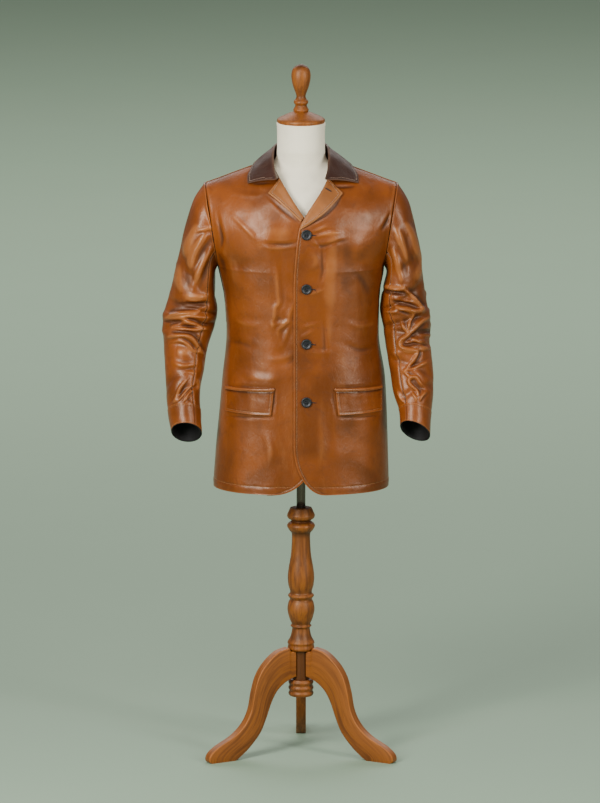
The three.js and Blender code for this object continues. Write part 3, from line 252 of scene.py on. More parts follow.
SLEEVE_CREASES = {
    ("front", -1): [
        ([(209, 190), (208, 205), (210, 218), (213, 229)], 1.8, 2.6),
        ([(214, 227.5), (206, 229), (196, 231)], 1.8, 2.2),
        ([(208, 230), (200, 242), (193, 256), (188, 276)], 4, 4),
        ([(212, 246), (204, 260), (198, 274), (193, 290)], 3.2, 3.4),
        ([(198, 222), (190, 240), (183, 260)], 4.2, 2.8),
        ([(181, 262), (179, 278), (183, 294)], 4, 2.6),
        ([(209, 296), (198, 297), (184, 296)], 2.8, 3.6),
        ([(183, 303), (192, 304.5), (200, 304.5), (210, 303)], 2, -5),
        ([(167, 317), (175, 314), (185, 313), (195, 312), (202, 310)], 1.9, 4.6),
        ([(200, 317), (190, 316.5), (181, 317.5)], 1.4, 2.2),
        ([(162, 321), (173, 321.5), (184, 321)], 1.5, -3),
        ([(180, 318), (188, 322), (195, 324.5), (201, 327), (207, 329)], 1.8, 4.8),
        ([(181, 325.5), (190, 326.7), (198, 326.5)], 1.4, -3),
        ([(207, 328.5), (195, 329.5), (180, 328.5), (170, 328.5)], 1.7, 3),
        ([(171, 328.5), (174, 326), (182, 325)], 1.3, 1.8),
        ([(166, 337.5), (175, 336), (185, 335.5), (190, 337), (194, 340), (197, 345), (200, 350),
           (203, 355)], 1.8, 4.8),
        ([(170, 342.5), (180, 341), (187, 344), (191, 348), (194, 351), (202, 353)], 1.6, 3.6),
        ([(176, 350), (184, 351), (193, 350)], 5, 2.2),
        ([(172, 362), (184, 366), (200, 364)], 2.2, 2),
        ([(176, 374), (188, 372), (199, 374)], 2, 1.6),
        ([(188, 378), (183, 384), (180, 389), (178, 394), (175, 401), (172, 406)], 1.6, 3.6),
        ([(196, 383), (190, 387), (186, 391), (182, 396), (178, 401), (175, 406)], 1.4, 3.4),
        ([(194, 388), (189, 393), (185, 398), (181, 405)], 1.3, 2.8),
        ([(191, 395), (186, 400), (183, 406)], 1.2, 2.2),
        ([(197, 378), (198, 384), (197, 391)], 2, 2.4),
        ([(187, 401), (190, 404), (194, 412)], 1.3, 2)],
    ("front", 1): [
        ([(404, 220), (412, 236), (416, 258)], 4, 3.2),
        ([(395, 226), (402, 244), (408, 266)], 3.6, 3.2),
        ([(392, 246), (398, 264), (402, 284)], 3, 2.8),
        ([(418, 244), (420, 262), (416, 282)], 4, 2.6),
        ([(407, 287), (397, 288.5), (384, 286)], 2.2, 4),
        ([(384, 291), (395, 293), (407, 294)], 1.7, -4.4),
        ([(404, 289), (411, 295), (416, 300), (421, 306.5), (424, 309.5)], 1.7, 4.2),
        ([(392, 301), (400, 302.5), (410, 304), (418, 307)], 1.4, -3.2),
        ([(393, 304.5), (400, 308), (408, 309), (414, 311), (420, 311), (424, 307)], 1.7, 4.2),
        ([(397, 311), (404, 312.5), (411, 314.5)], 1.4, -3.2),
        ([(414.5, 311), (413, 316), (410, 321), (409, 326), (408, 331), (409, 336)], 1.5, 3.2),
        ([(401, 320), (404, 328), (408, 334)], 1.5, 2.6),
        ([(431, 316.5), (424, 320), (418, 325), (413, 330), (408, 335), (404, 338), (401, 341),
           (400.5, 345), (403, 348), (409, 349.5), (417, 349.5), (424, 349),
           (430, 347.5)], 1.9, 5), ([(434, 331.5), (426, 331.5), (418, 332)], 2, -3.6),
        ([(423, 343.5), (414, 339.5), (410, 337)], 1.4, 2.8),
        ([(402, 345.5), (410, 344), (418, 343)], 1.3, -3.2),
        ([(411, 347), (420, 346), (428, 348)], 1.2, 2.2),
        ([(405, 352), (412, 351.5), (417, 352), (416, 356), (413, 361), (409, 366),
           (404, 372)], 1.6, 4),
        ([(404, 371.5), (411, 369), (417, 367), (423, 364), (429, 361)], 1.4, 2.8),
        ([(404, 370.5), (409, 376), (416, 378)], 1.4, 2.6),
        ([(430, 391.5), (421, 384), (417, 378), (413, 377), (409, 380), (410, 384), (414, 388),
           (417, 391), (418, 396), (417, 403)], 1.5, 3.6),
        ([(427, 391), (422, 396), (419, 402)], 1.3, 2.4),
        ([(411, 391), (415, 397), (416, 402)], 1.3, 2.4),
        ([(397, 390), (401, 398), (405, 403)], 1.4, 2.6)],
    ("back", -1): [
        ([(399, 236), (407, 252), (411, 274)], 5, 2.6),
        ([(428, 262), (418, 274), (405, 283), (397, 286)], 3.4, 3),
        ([(431, 296), (420, 297), (408, 302), (399, 309)], 2.6, 3.4),
        ([(399, 315), (408, 310), (420, 306.5), (430, 305.5)], 1.9, -3),
        ([(431, 313.5), (419, 314.5), (407, 319.5), (401, 326)], 2.3, 3.8),
        ([(402, 333), (410, 327), (420, 323), (431, 322)], 1.8, -2.6),
        ([(431, 330.5), (421, 331.5), (411, 336), (405, 342)], 2.4, 3),
        ([(430, 344), (419, 348), (409, 351)], 3.2, 2.2),
        ([(403, 362), (412, 372), (416, 386)], 3.4, 1.8),
        ([(425, 378), (419, 392), (413, 404)], 2.4, 1.8)],
    ("back", 1): [
        ([(205, 230), (197, 250), (192, 272)], 5, 2.4),
        ([(207, 279), (195, 285), (180, 286)], 3, 2.8),
        ([(171, 293), (184, 298), (196, 298), (207, 294)], 2.8, 3.2),
        ([(207, 302), (196, 306), (184, 306), (173, 302)], 2, -2.8),
        ([(169, 310), (179, 314), (191, 314), (205, 309)], 2.4, 3.8),
        ([(168, 326), (179, 325), (189, 328), (197, 334), (202, 341)], 2.6, 3),
        ([(190, 338), (180, 336), (169, 338)], 2, -2.2),
        ([(171, 349), (184, 346), (196, 352)], 3, 2.4),
        ([(197, 362), (188, 374), (184, 388)], 3.4, 1.8),
        ([(175, 384), (180, 396), (186, 405)], 2.4, 1.6)],
}


# ------------------------------------------------------------------ small maths
def mix(a, b, t):
    """The value a share t of the way from a to b."""
    return a + (b - a) * t


def ease(t):
    """A smooth step: 3t squared less 2t cubed, held to 0 and 1 outside."""
    t = np.clip(t, 0, 1)
    return t * t * (3 - 2 * t)


def bell(t):
    """e to the power of minus t squared."""
    return np.exp(-t * t)


def unit(v):
    """Vectors divided by their lengths."""
    return v / np.maximum(np.linalg.norm(v, axis=-1, keepdims=True), 1e-9)


def turned(normals, away):
    """Normals, each one turned round where it points against away."""
    return normals * np.where((normals * away).sum(-1, keepdims=True) < 0, -1, 1)


def travelled(grid, axis):
    """Distance of a grid's points from its first row or column, along the grid."""
    steps = np.linalg.norm(np.diff(grid, axis=axis), axis=2)
    return np.insert(np.cumsum(steps, axis), 0, 0, axis=axis)


def at_level(values, level, k, *grids):
    """What each grid holds between its places k and k + 1, where the value passes level."""
    t = (level - values[k]) / (values[k + 1] - values[k])
    return [mix(grid[k], grid[k + 1], t) for grid in grids]


def along(keys, values, at):
    """Cubic between table rows, with slopes held so that it never overshoots: each inner
    slope is the harmonic mean of the slopes beside it, or 0 where they disagree."""
    keys = np.asarray(keys, float)
    values = np.asarray(values, float)
    at = np.asarray(at, float)
    slopes = np.diff(values) / np.diff(keys)
    turn = np.concatenate([slopes[:1], slopes[1:], slopes[-1:]])
    product = slopes[:-1] * slopes[1:]
    total = slopes[:-1] + slopes[1:]
    turn[1:-1] = np.where(product <= 0, 0, 2 * product / np.where(total == 0, 1, total))
    i = np.searchsorted(keys[1:-1], at, side="left")
    span = keys[i + 1] - keys[i]
    t = np.clip((at - keys[i]) / span, 0, 1)
    t2, t3 = t * t, t * t * t
    return ((2 * t3 - 3 * t2 + 1) * values[i] + (t3 - 2 * t2 + t) * span * turn[i]
            + (3 * t2 - 2 * t3) * values[i + 1] + (t3 - t2) * span * turn[i + 1])


def through(points, count):
    """A smooth line through points: Catmull-Rom, at evenly spaced shares of the whole.
    Works on the first axis, so a grid of points gives a grid."""
    p = np.asarray(points, float)
    place = np.linspace(0, len(p) - 1, count)
    i = np.minimum(place.astype(int), len(p) - 2)
    t = (place - i).reshape((-1,) + (1,) * (p.ndim - 1))
    first = np.concatenate([2 * p[:1] - p[1:2], p, 2 * p[-1:] - p[-2:-1]])
    a, b, c, d = first[i], first[i + 1], first[i + 2], first[i + 3]
    return 0.5 * (2 * b + (c - a) * t + (2 * a - 5 * b + 4 * c - d) * t ** 2
                  + (3 * b - a - 3 * c + d) * t ** 3)


def evenly(line, spacing):
    """Points along a line at equal arc lengths, and the direction of the line there."""
    steps = np.linalg.norm(np.diff(line, axis=0), axis=1)
    length = np.concatenate([[0], np.cumsum(steps)])
    count = max(2, int(round(length[-1] / spacing)))
    at = (np.arange(count) + 0.5) * length[-1] / count
    place = np.stack([np.interp(at, length, line[:, k]) for k in range(3)], 1)
    ahead = np.stack([np.interp(at + 0.8, length, line[:, k]) for k in range(3)], 1)
    behind = np.stack([np.interp(at - 0.8, length, line[:, k]) for k in range(3)], 1)
    return place, unit(ahead - behind), at, length


def grid_normals(grid, ring=False):
    """Cross product of the two differences of a grid of points at each of them."""
    down = np.gradient(grid, axis=0)
    if ring:
        across = (np.roll(grid, -1, axis=1) - np.roll(grid, 1, axis=1)) / 2
    else:
        across = np.gradient(grid, axis=1)
    return unit(np.cross(across, down))


def noise(points, scale, seed, octaves=3):
    """A smooth uneven field from -1 to 1: sums of sines in directions that differ."""
    rng = np.random.default_rng(seed)
    total = np.zeros(points.shape[:-1])
    size = 0.0
    for octave in range(octaves):
        for _ in range(5):
            direction = unit(rng.normal(size=3)) * scale * 1.9 ** octave * 2 * math.pi
            total += np.sin(points @ direction + rng.uniform(0, 2 * math.pi)) / 1.7 ** octave
            size += 0.62 / 1.7 ** octave
    return total / size


# ------------------------------------------------------------------ creases
def crease_height(x, w, creases):
    """The height of the listed creases at columns x and rows w. Each is a smooth line
    through its points: a bell of the distance from it, with a shallower trough along its
    left side, fading out at both ends."""
    height = np.zeros_like(x)
    for points, width, rise in creases:
        line = through(np.array(points, float), 22)
        low, high = line.min(0) - 3.2 * width, line.max(0) + 3.2 * width
        near = (x > low[0]) & (x < high[0]) & (w > low[1]) & (w < high[1])
        if not near.any():
            continue
        place = np.stack([x[near], w[near]], 1)[:, None]
        start, step = line[:-1], np.diff(line, axis=0)
        share = np.clip(((place - start) * step).sum(-1) / (step ** 2).sum(-1), 0, 1)
        off = place - start - share[..., None] * step
        gap = np.linalg.norm(off, axis=-1)
        k = gap.argmin(1)
        n = np.arange(len(k))
        sign = np.sign(step[k, 0] * off[n, k, 1] - step[k, 1] * off[n, k, 0])
        gap = gap[n, k] * np.where(sign == 0, 1, sign)
        way = (k + share[n, k]) / (len(line) - 1)
        fade = np.sin(math.pi * np.clip(way, 0.02, 0.98)) ** 0.7
        shape = bell(gap / width) - 0.45 * bell((gap + 1.9 * width) / (1.15 * width))
        height[near] += rise * shape * fade
    return height


def chart(points, face="front"):
    """The column and row of a point on the squared paper of the creases."""
    turn = 1.0 if face == "front" else -1.0
    x, y, z = points[..., 0] * turn, points[..., 1] * turn, points[..., 2] - 861
    toward = z * math.sin(TILT) - y * math.cos(TILT)
    scale = 1 / (1 - toward / 20000) / SQUARE
    return 301 + x * scale, 401.5 - (z * math.cos(TILT) + y * math.sin(TILT)) * scale


# ------------------------------------------------------------------ the body's surface
def armhole(angle):
    """The armhole's oval: 0 is the shoulder point, 90 the front, 180 the armpit."""
    up = (1 + np.cos(np.radians(angle))) / 2
    forward = np.sin(np.radians(angle))
    depth = np.where(forward > 0, ARMHOLE["front"], ARMHOLE["back"])
    return np.stack([mix(ARMHOLE["bottom"], ARMHOLE["top"], up), SIDE_Y - depth * forward,
                     mix(ARMPIT_Z, SHOULDER_Z, up)], -1)


def ridge_height(x):
    """Height of the shoulder line at a distance from the middle."""
    return RIDGE_Z - (RIDGE_Z - SHOULDER_Z) / ARMHOLE["top"] * x


def neck_dip(distance):
    """How much of a row's share the back's neckline dips by."""
    return BACK_NECK_DIP * np.maximum(0, 1 - (distance / NECK_POINT[0]) ** 2.2)


ARMHOLE_MIDDLE = (armhole(0) + armhole(180)) / 2


def fold_height(face, side, x, z):
    """Soft folds: a bell of the distance from a straight line, fading past its ends."""
    height = np.zeros(np.broadcast(x, z).shape)
    for x0, z0, x1, z1, width, depth in BODY_FOLDS[face, side]:
        dx, dz = x1 - x0, z1 - z0
        length = math.hypot(dx, dz)
        share = ((x - x0) * dx + (z - z0) * dz) / length ** 2
        off = ((x - x0) * dz - (z - z0) * dx) / length
        fade = ease(share / 0.35 + 0.5) * ease((1 - share) / 0.35 + 0.5)
        height = height + depth * bell(off / width) * fade
    return height


def half_width(side, row):
    """Half width of a row, and how far round its curve goes."""
    up = np.clip(row, 0, 1)
    low = row <= 0
    z_low = ARMPIT_Z + np.minimum(row, 0)
    half = np.where(low, along(BODY[:, 0], BODY[:, 2 if side > 0 else 1], z_low),
                    mix(ARMHOLE["bottom"], ARMHOLE["top"], up))
    return half, np.where(low, 1.0, 1 - 0.1 * ease(up / 0.15))


def body_point(face, side, row, distance):
    """A point of the body. A row at or below 0 is a height under the armpit, and 0 to 1
    is the share of the way up the armhole. The row runs from the middle line to the side
    on a curve whose power is the roundness, and the folds push it in or out."""
    front = face == "front"
    out = -1.0 if front else 1.0
    row, distance = np.broadcast_arrays(np.asarray(row, float), np.asarray(distance, float))
    up = np.clip(row, 0, 1)
    low = row <= 0
    z_low = ARMPIT_Z + np.minimum(row, 0)
    column = 3 if front else 4
    half, bend = half_width(side, row)
    depth = ARMHOLE["front" if front else "back"]
    end_y = np.where(low, SIDE_Y, SIDE_Y + out * depth * 2 * np.sqrt(up * (1 - up)))
    end_z = np.where(low, z_low, mix(ARMPIT_Z, SHOULDER_Z, up))
    mid_z = np.where(low, z_low, mix(ARMPIT_Z, RIDGE_Z, up))
    mid_y = out * np.where(low, along(BODY[:, 0], BODY[:, column], z_low),
                           along(MIDDLE[:, 0], MIDDLE[:, column - 2], mid_z))
    power = ROUNDNESS[face]
    share = np.minimum(1, np.abs(distance) / half)

    def rise(t):
        return 1 - np.maximum(0, 1 - np.minimum(1, t) ** power) ** (1 / power)

    z = mix(mid_z, end_z, share)
    y = mix(mid_y, end_y, rise(share * bend) / rise(bend))
    clear = ease((1 - share) / 0.12) * np.where(low, 1, ease((1 - up) / 0.3))
    y = y + out * fold_height(face, side, distance, z) * clear
    if front and side < 0:
        y = y + 3.2 * ease((78 - distance) / 38) * ease((1420 - z) / 60)
    return np.stack([side * distance, y, z], -1)


def row_at(face, side, distance, z):
    """The row with a given height at a distance from the middle, by halving."""
    distance, z = np.broadcast_arrays(np.asarray(distance, float), np.asarray(z, float))
    low, high = np.zeros(z.shape), np.ones(z.shape)
    for _ in range(26):
        up = (low + high) / 2
        under = body_point(face, side, np.maximum(up, 1e-7), distance)[..., 2] < z
        low, high = np.where(under, up, low), np.where(under, high, up)
    return np.where(z <= ARMPIT_Z, z - ARMPIT_Z, np.maximum((low + high) / 2, 1e-7))


def on_body(face, side, distance, z, lift=0.0, creased=True):
    """A point on the body's leather at a distance across and a height, and its normal."""
    def at(x, h):
        return body_point(face, side, row_at(face, side, x, h), x)

    point = at(distance, z)
    across = at(distance + 1, z) - at(distance - 1, z)
    up = at(distance, z + 1) - at(distance, z - 1)
    normal = turned(unit(np.cross(across, up)), OUTWARD[face])
    if creased:
        lift = lift + body_relief(face, side, point)
    return point + normal * np.asarray(lift)[..., None], normal


def body_relief(face, side, point):
    """Height of the small creases and of a soft unevenness of the body's leather."""
    height = crease_height(*chart(point, face), BODY_CREASES[face, side])
    height = height + 0.55 * noise(point, 1 / 75, 3 if side > 0 else 4, 2)
    z = point[..., 2]
    return height * ease((z - HEM_Z) / 14) * ease((1455 - z) / 40)


def front_start(side, z):
    """How far from the middle a front begins: a quarter oval at its lower corner, then
    straight, then the lapel's fold, then the neck seam."""
    past = 17.0 if side > 0 else 38.0
    width = 76.0 if side > 0 else 102.0
    drop = np.clip((780 - z) / (780 - HEM_Z), 0, 1)
    corner = -past + width * (1 - np.sqrt(np.maximum(0, 1 - drop ** 2)))
    if side > 0:
        rows = [(780, -17), (1150, -17), (1250, -11), (1305, -3), (1330, 9),
                (GORGE[1], GORGE[0] + NECK_SHIFT), NECK_POINT[::-1]]
    else:
        rows = [(780, -38), (1150, -38), (1290, -36), (1310, -24), (1332, -6),
                (GORGE[1], GORGE[0] - 9), NECK_POINT[::-1]]
    rows = np.array(rows, float)
    return np.where(z < 780, corner, along(rows[:, 0], rows[:, 1], z))


# ------------------------------------------------------------------ meshes
SHIFT = np.zeros(3)


def placed(points):
    """Millimetres from the stand's axis, turned into metres of the model."""
    return np.asarray(points, float).reshape(-1, 3) / 1000 + SHIFT


def make_piece(name, points, faces, finishes, slot=None, held=None, inner=None, sharp=None):
    """A mesh piece at its place, that rides on the whole. It has one finish, or a second
    one on its inner faces, and holds values on its points."""
    mesh = bpy.data.meshes.new(name)
    mesh.from_pydata(placed(points).tolist(), [], [list(f) for f in faces])
    for finish in finishes.split():
        mesh.materials.append(finish_of(finish))
    mesh.polygons.foreach_set("use_smooth", np.ones(len(mesh.polygons), bool))
    if inner is not None:
        mesh.polygons.foreach_set("material_index", np.asarray(inner, np.int32))
    for key, values in (held or {}).items():
        layer = mesh.attributes.new(key, "FLOAT", "POINT")
        layer.data.foreach_set("value", np.asarray(values, np.float32).ravel())
    if sharp is not None:
        mesh.set_sharp_from_angle(angle=math.radians(sharp))
    mesh.update()
    piece = bpy.data.objects.new(name, mesh)
    bpy.context.scene.collection.objects.link(piece)
    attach(piece, "root")
    return piece


def grid_quads(rows, columns, ring):
    """The quads of a grid, closed round its columns where it is a ring."""
    i, j = np.meshgrid(np.arange(rows - 1), np.arange(columns if ring else columns - 1),
                       indexing="ij")
    k = (j + 1) % columns
    return np.stack([i * columns + j, i * columns + k, (i + 1) * columns + k,
                     (i + 1) * columns + j], -1).reshape(-1, 4)


def border(rows, columns):
    """Indices of a grid's border, walked the way its faces go, and one step inside it."""
    i, j = np.arange(rows), np.arange(columns)
    edge = np.concatenate([j, i[1:] * columns + columns - 1,
                           (rows - 1) * columns + j[-2::-1], i[-2:0:-1] * columns])
    return edge, (np.clip(edge // columns, 1, rows - 2) * columns
                  + np.clip(edge % columns, 1, columns - 2))


def shell(outer, inner, ring=False, rim=3, bulge=1.0):
    """A closed wall between an outer and an inner grid. Half circles carried round their
    borders join them. Returns points, faces, the grid index that each point came from,
    and which faces belong to the inner side."""
    rows, columns = outer.shape[:2]
    size = rows * columns
    a, b = outer.reshape(-1, 3), inner.reshape(-1, 3)
    quads = grid_quads(rows, columns, ring)
    points, faces = [a, b], [quads, quads[:, ::-1] + size]
    source = [np.arange(size), np.arange(size)]
    kinds = [np.zeros(len(quads), int), np.ones(len(quads), int)]
    if ring:
        turn = np.arange(columns)
        loops = [(turn, turn + columns), ((rows - 1) * columns + turn[::-1],
                                          (rows - 2) * columns + turn[::-1])]
    else:
        loops = [border(rows, columns)]
    count = 2 * size
    for loop, inside in loops:
        wall = a[loop] - b[loop]
        thick = np.linalg.norm(wall, axis=1, keepdims=True)
        normal = wall / np.maximum(thick, 1e-9)
        out = a[loop] - a[inside]
        out = unit(out - (out * normal).sum(1, keepdims=True) * normal)
        middle = (a[loop] + b[loop]) / 2
        strips = [loop]
        for step in range(1, rim):
            angle = math.pi * step / rim
            points.append(middle + normal * thick / 2 * math.cos(angle)
                          + out * thick / 2 * bulge * math.sin(angle))
            source.append(loop)
            strips.append(count + np.arange(len(loop)))
            count += len(loop)
        strips.append(loop + size)
        for first, second in zip(strips[:-1], strips[1:]):
            faces.append(np.stack([np.roll(first, -1), first, second, np.roll(second, -1)], 1))
            kinds.append(np.full(len(loop), 2))
    points = np.concatenate(points)
    faces = np.concatenate(faces)
    corner = points[faces]
    volume = (corner[:, 0] * np.cross(corner[:, 1], corner[:, 2])).sum() \
        + (corner[:, 0] * np.cross(corner[:, 2], corner[:, 3])).sum()
    if volume < 0:
        faces = faces[:, ::-1]
    return points, faces, np.concatenate(source), np.concatenate(kinds)


def stitches(name, rows, thread="thread", spacing=3.3, radius=0.34):
    """Topstitching as one mesh. Each row is a line and its normals; a stitch is a short
    five-sided thread along the line, sunk at both ends."""
    rings = np.array([(-0.5, 0.35, -0.5), (-0.3, 1.0, 0.25), (0.3, 1.0, 0.25), (0.5, 0.35, -0.5)])
    turn = np.arange(5) * 2 * math.pi / 5
    points, faces = [], []
    count = 0
    quads = grid_quads(4, 5, True)
    for line, normals in rows:
        line = np.asarray(line, float)
        place, ahead, at, length = evenly(line, spacing)
        normal = unit(np.stack([np.interp(at, length, normals[:, c]) for c in range(3)], 1))
        beside = unit(np.cross(ahead, normal))
        reach = spacing * 0.78
        place, ahead, normal, beside = (v[:, None, None] for v in (place, ahead, normal, beside))
        tall = (rings[:, 1, None] * np.cos(turn) + rings[:, 2, None]) * radius
        wide = rings[:, 1, None] * np.sin(turn) * radius * 1.15
        ring = place + ahead * (rings[:, 0] * reach)[:, None, None]
        points.append((ring + normal * tall[..., None] + beside * wide[..., None]).reshape(-1, 3))
        start = count + np.arange(len(place)) * 20
        faces += (quads[None] + start[:, None, None]).reshape(-1, 4).tolist()
        faces += (np.arange(5)[None] + start[:, None]).tolist()
        faces += (np.arange(19, 14, -1)[None] + start[:, None]).tolist()
        count += len(place) * 20
    return make_piece(name, np.concatenate(points), faces, thread)


def capped(grid):
    """Points and faces of a stack of rings, closed at both ends by a fan."""
    n, sides = grid.shape[:2]
    faces = grid_quads(n, sides, True).tolist()
    ring, last = np.arange(sides), (n - 1) * sides
    after = (ring + 1) % sides
    faces += np.stack([np.full(sides, n * sides), after, ring], 1).tolist()
    faces += np.stack([np.full(sides, n * sides + 1), last + ring, last + after], 1).tolist()
    return np.concatenate([grid.reshape(-1, 3), [grid[0].mean(0), grid[-1].mean(0)]]), faces


def finer(rows, times):
    """A table's rows with more between them, on a smooth line."""
    return through(rows, (len(rows) - 1) * times + 1)


def lathe(profile, sides):
    """A profile of heights and radii turned round the stand's axis, closed at both ends."""
    rows = np.array(profile, float)
    radius = np.maximum(rows[:, 1:], 0.5)
    turn = np.arange(sides) * 2 * math.pi / sides
    return capped(np.stack([radius * np.cos(turn), radius * np.sin(turn),
                            np.repeat(rows[:, :1], sides, 1)], -1))


# ------------------------------------------------------------------ shader maths
def joined_by(operation):
    """An operator and its reflected form, which add a Math node."""
    def straight(self, other):
        return self.paint.node("ShaderNodeMath", {"operation": operation}, {0: self, 1: other})

    def reflected(self, other):
        return self.paint.node("ShaderNodeMath", {"operation": operation}, {0: other, 1: self})
    return straight, reflected


class Wire:
    """A socket that can be used in an expression: each operator adds its Math node."""

    def __init__(self, paint, socket):
        self.paint, self.socket = paint, socket

    __add__, __radd__ = joined_by("ADD")
    __sub__, __rsub__ = joined_by("SUBTRACT")
    __mul__, __rmul__ = joined_by("MULTIPLY")

    def clamp(self):
        return self.paint.node("ShaderNodeClamp", {}, {"Value": self})

    def smooth(self, low, high):
        """Steps smoothly from 0 to 1 as the value goes from low to high."""
        return self.paint.node("ShaderNodeMapRange", {"interpolation_type": "SMOOTHSTEP"},
                               {"Value": self, 1: low, 2: high, 3: 0.0, 4: 1.0})


class Paint:
    """A material's nodes, made from values and wires."""

    def __init__(self, name):
        self.material = bpy.data.materials.new(name)
        self.material.use_nodes = True
        self.tree = self.material.node_tree
        self.tree.nodes.clear()
        self.output = self.tree.nodes.new("ShaderNodeOutputMaterial")

    def node(self, kind, settings, inputs, output=0):
        """One node: its settings first, then the values or wires of its sockets."""
        made = self.tree.nodes.new(kind)
        for key, value in settings.items():
            setattr(made, key, value)
        for key, value in inputs.items():
            if isinstance(value, Wire):
                self.tree.links.new(value.socket, made.inputs[key])
            else:
                made.inputs[key].default_value = value
        return Wire(self, made.outputs[output])

    def place(self, scale=(1, 1, 1), turn=(0, 0, 0)):
        """Object coordinates, stretched and turned."""
        where = self.node("ShaderNodeTexCoord", {}, {}, "Object")
        return self.node("ShaderNodeMapping", {}, {"Vector": where, "Scale": scale,
                                                   "Rotation": turn})

    def cloud(self, scale, detail=4.0, rough=0.55, place=None, warp=0.0):
        return self.node("ShaderNodeTexNoise", {}, {
            "Vector": place or self.place(), "Scale": scale, "Detail": detail,
            "Roughness": rough, "Distortion": warp})

    def cells(self, scale, place=None):
        """Distance from the edges of a pattern of cells."""
        return self.node("ShaderNodeTexVoronoi", {"feature": "DISTANCE_TO_EDGE"}, {
            "Vector": place or self.place(), "Scale": scale}, "Distance")

    def lines(self, way, scale, warp):
        """Even waves, one way across."""
        return self.node("ShaderNodeTexWave", {"bands_direction": way}, {
            "Vector": self.place(), "Scale": scale, "Distortion": warp})

    def held(self, name):
        """A value kept on the piece's own points."""
        return self.node("ShaderNodeAttribute", {"attribute_name": name}, {}, "Fac")

    def colours(self, share, first, second):
        return self.node("ShaderNodeMix", {"data_type": "RGBA"}, {
            0: share, 6: first if isinstance(first, Wire) else (*first, 1.0),
            7: second if isinstance(second, Wire) else (*second, 1.0)}, 2)

    def bump(self, height, strength, distance, normal=None):
        inputs = {"Height": height, "Strength": strength, "Distance": distance}
        if normal is not None:
            inputs["Normal"] = normal
        return self.node("ShaderNodeBump", {}, inputs)

    def surface(self, **inputs):
        """The finished surface: one Principled shader with these sockets."""
        names = {key.replace("_", " "): value for key, value in inputs.items()}
        shader = self.node("ShaderNodeBsdfPrincipled", {}, names)
        self.tree.links.new(shader.socket, self.output.inputs["Surface"])
        return self.material


def linear(red, green, blue):
    """A screen colour from 0 to 255 as light."""
    return tuple(((c / 255 + 0.055) / 1.055) ** 2.4 if c > 10 else c / 255 / 12.92
                 for c in (red, green, blue))


def scaled(colour, factor):
    return tuple(min(1.0, c * factor) for c in colour)


def leather_material(name, base, gloss, wear_and_highlight, dark, grain=1.0):
    """Waxed leather: lighter and darker waxed clouds, paler on crease ridges, worn there and
    with a painted highlight, pale on worn edges, painted shade in the troughs, in seams and
    along stitching, pebbled grain and fine wrinkles."""
    paint = Paint(name)
    broad = paint.cloud(7.0, 3.0, 0.5, warp=0.6)
    fine = paint.cloud(34.0, 5.0, 0.62, warp=1.2)
    streak = paint.cloud(22.0, 4.0, 0.6, paint.place((1.6, 1.6, 0.35)), 0.8)
    relief = paint.held("relief")
    edge = paint.held("edge")
    colour = paint.colours(broad.smooth(0.36, 0.66), scaled(base, 0.72), scaled(base, 1.18))
    colour = paint.colours(fine.smooth(0.5, 0.78) * 0.35, colour, dark)
    colour = paint.colours(streak.smooth(0.52, 0.8) * 0.2, colour, scaled(wear_and_highlight, 0.7))
    # paler on crease ridges: worn, and a painted highlight
    ridge_wear_and_highlight = (relief.smooth(0.15, 0.9) * (0.3 + fine * 0.7)).clamp()
    colour = paint.colours(ridge_wear_and_highlight * 0.5, colour, wear_and_highlight)
    # painted shade: darker in crease troughs
    trough_shade = (relief * -1.0).smooth(0.1, 0.8)
    colour = paint.colours(trough_shade * 0.75, colour, dark)
    colour = paint.colours(edge.clamp() * (0.3 + fine * 0.7) * 0.45, colour, wear_and_highlight)
    # painted shade where the edge value is below 0: in seams, along stitching, on the lower fronts
    colour = paint.colours((edge * -1.0).clamp() * 0.85, colour, scaled(dark, 0.6))
    rough = (gloss + (fine - 0.5) * 0.22 + (broad - 0.5) * 0.1 + trough_shade * 0.15).clamp()
    pebble = paint.cells(620.0 * grain)
    wrinkle = paint.cells(58.0, paint.place((1, 1, 0.55), (0.4, 0.2, 0.9)))
    height = pebble.smooth(0.0, 0.4) * 0.25 + wrinkle.smooth(0.0, 0.12) * 0.35 \
        + paint.cloud(120.0, 4.0, 0.6) * 1.2
    swell = paint.bump(paint.cloud(15.0, 2.0, 0.45, warp=0.7), 0.2, 0.010)
    normal = paint.bump(height, 0.22, 0.0011, swell)
    return paint.surface(Base_Color=colour, Roughness=rough, Normal=normal, IOR=1.5,
                         Specular_IOR_Level=0.5, Specular_Tint=(1, 0.82, 0.63, 1),
                         Coat_Weight=0.06, Coat_Roughness=0.22)


def thread_material(name, base):
    paint = Paint(name)
    twist = paint.cloud(900.0, 2.0, 0.5)
    colour = paint.colours(twist.smooth(0.35, 0.7), scaled(base, 0.75), scaled(base, 1.2))
    return paint.surface(Base_Color=colour, Roughness=0.75, IOR=1.45)


def lining_material(name, base):
    """Dark twill: fine slanted lines."""
    paint = Paint(name)
    lines = paint.lines("DIAGONAL", 420.0, 1.0)
    colour = paint.colours(lines, scaled(base, 0.7), scaled(base, 1.3))
    return paint.surface(Base_Color=colour, Roughness=0.75, IOR=1.45,
                         Normal=paint.bump(lines, 0.3, 0.0004))


def canvas_material(name, base):
    """Cotton jersey stretched on the form: a small weave, faint marks."""
    paint = Paint(name)
    weave = paint.lines("Z", 330.0, 0.6) * paint.lines("X", 330.0, 0.6)
    marks = paint.cloud(9.0, 5.0, 0.6)
    colour = paint.colours(marks.smooth(0.35, 0.75), base, scaled(base, 0.88))
    colour = paint.colours(weave * 0.2, colour, scaled(base, 0.75))
    return paint.surface(Base_Color=colour, Roughness=0.85, IOR=1.45,
                         Normal=paint.bump(weave, 0.3, 0.0005))


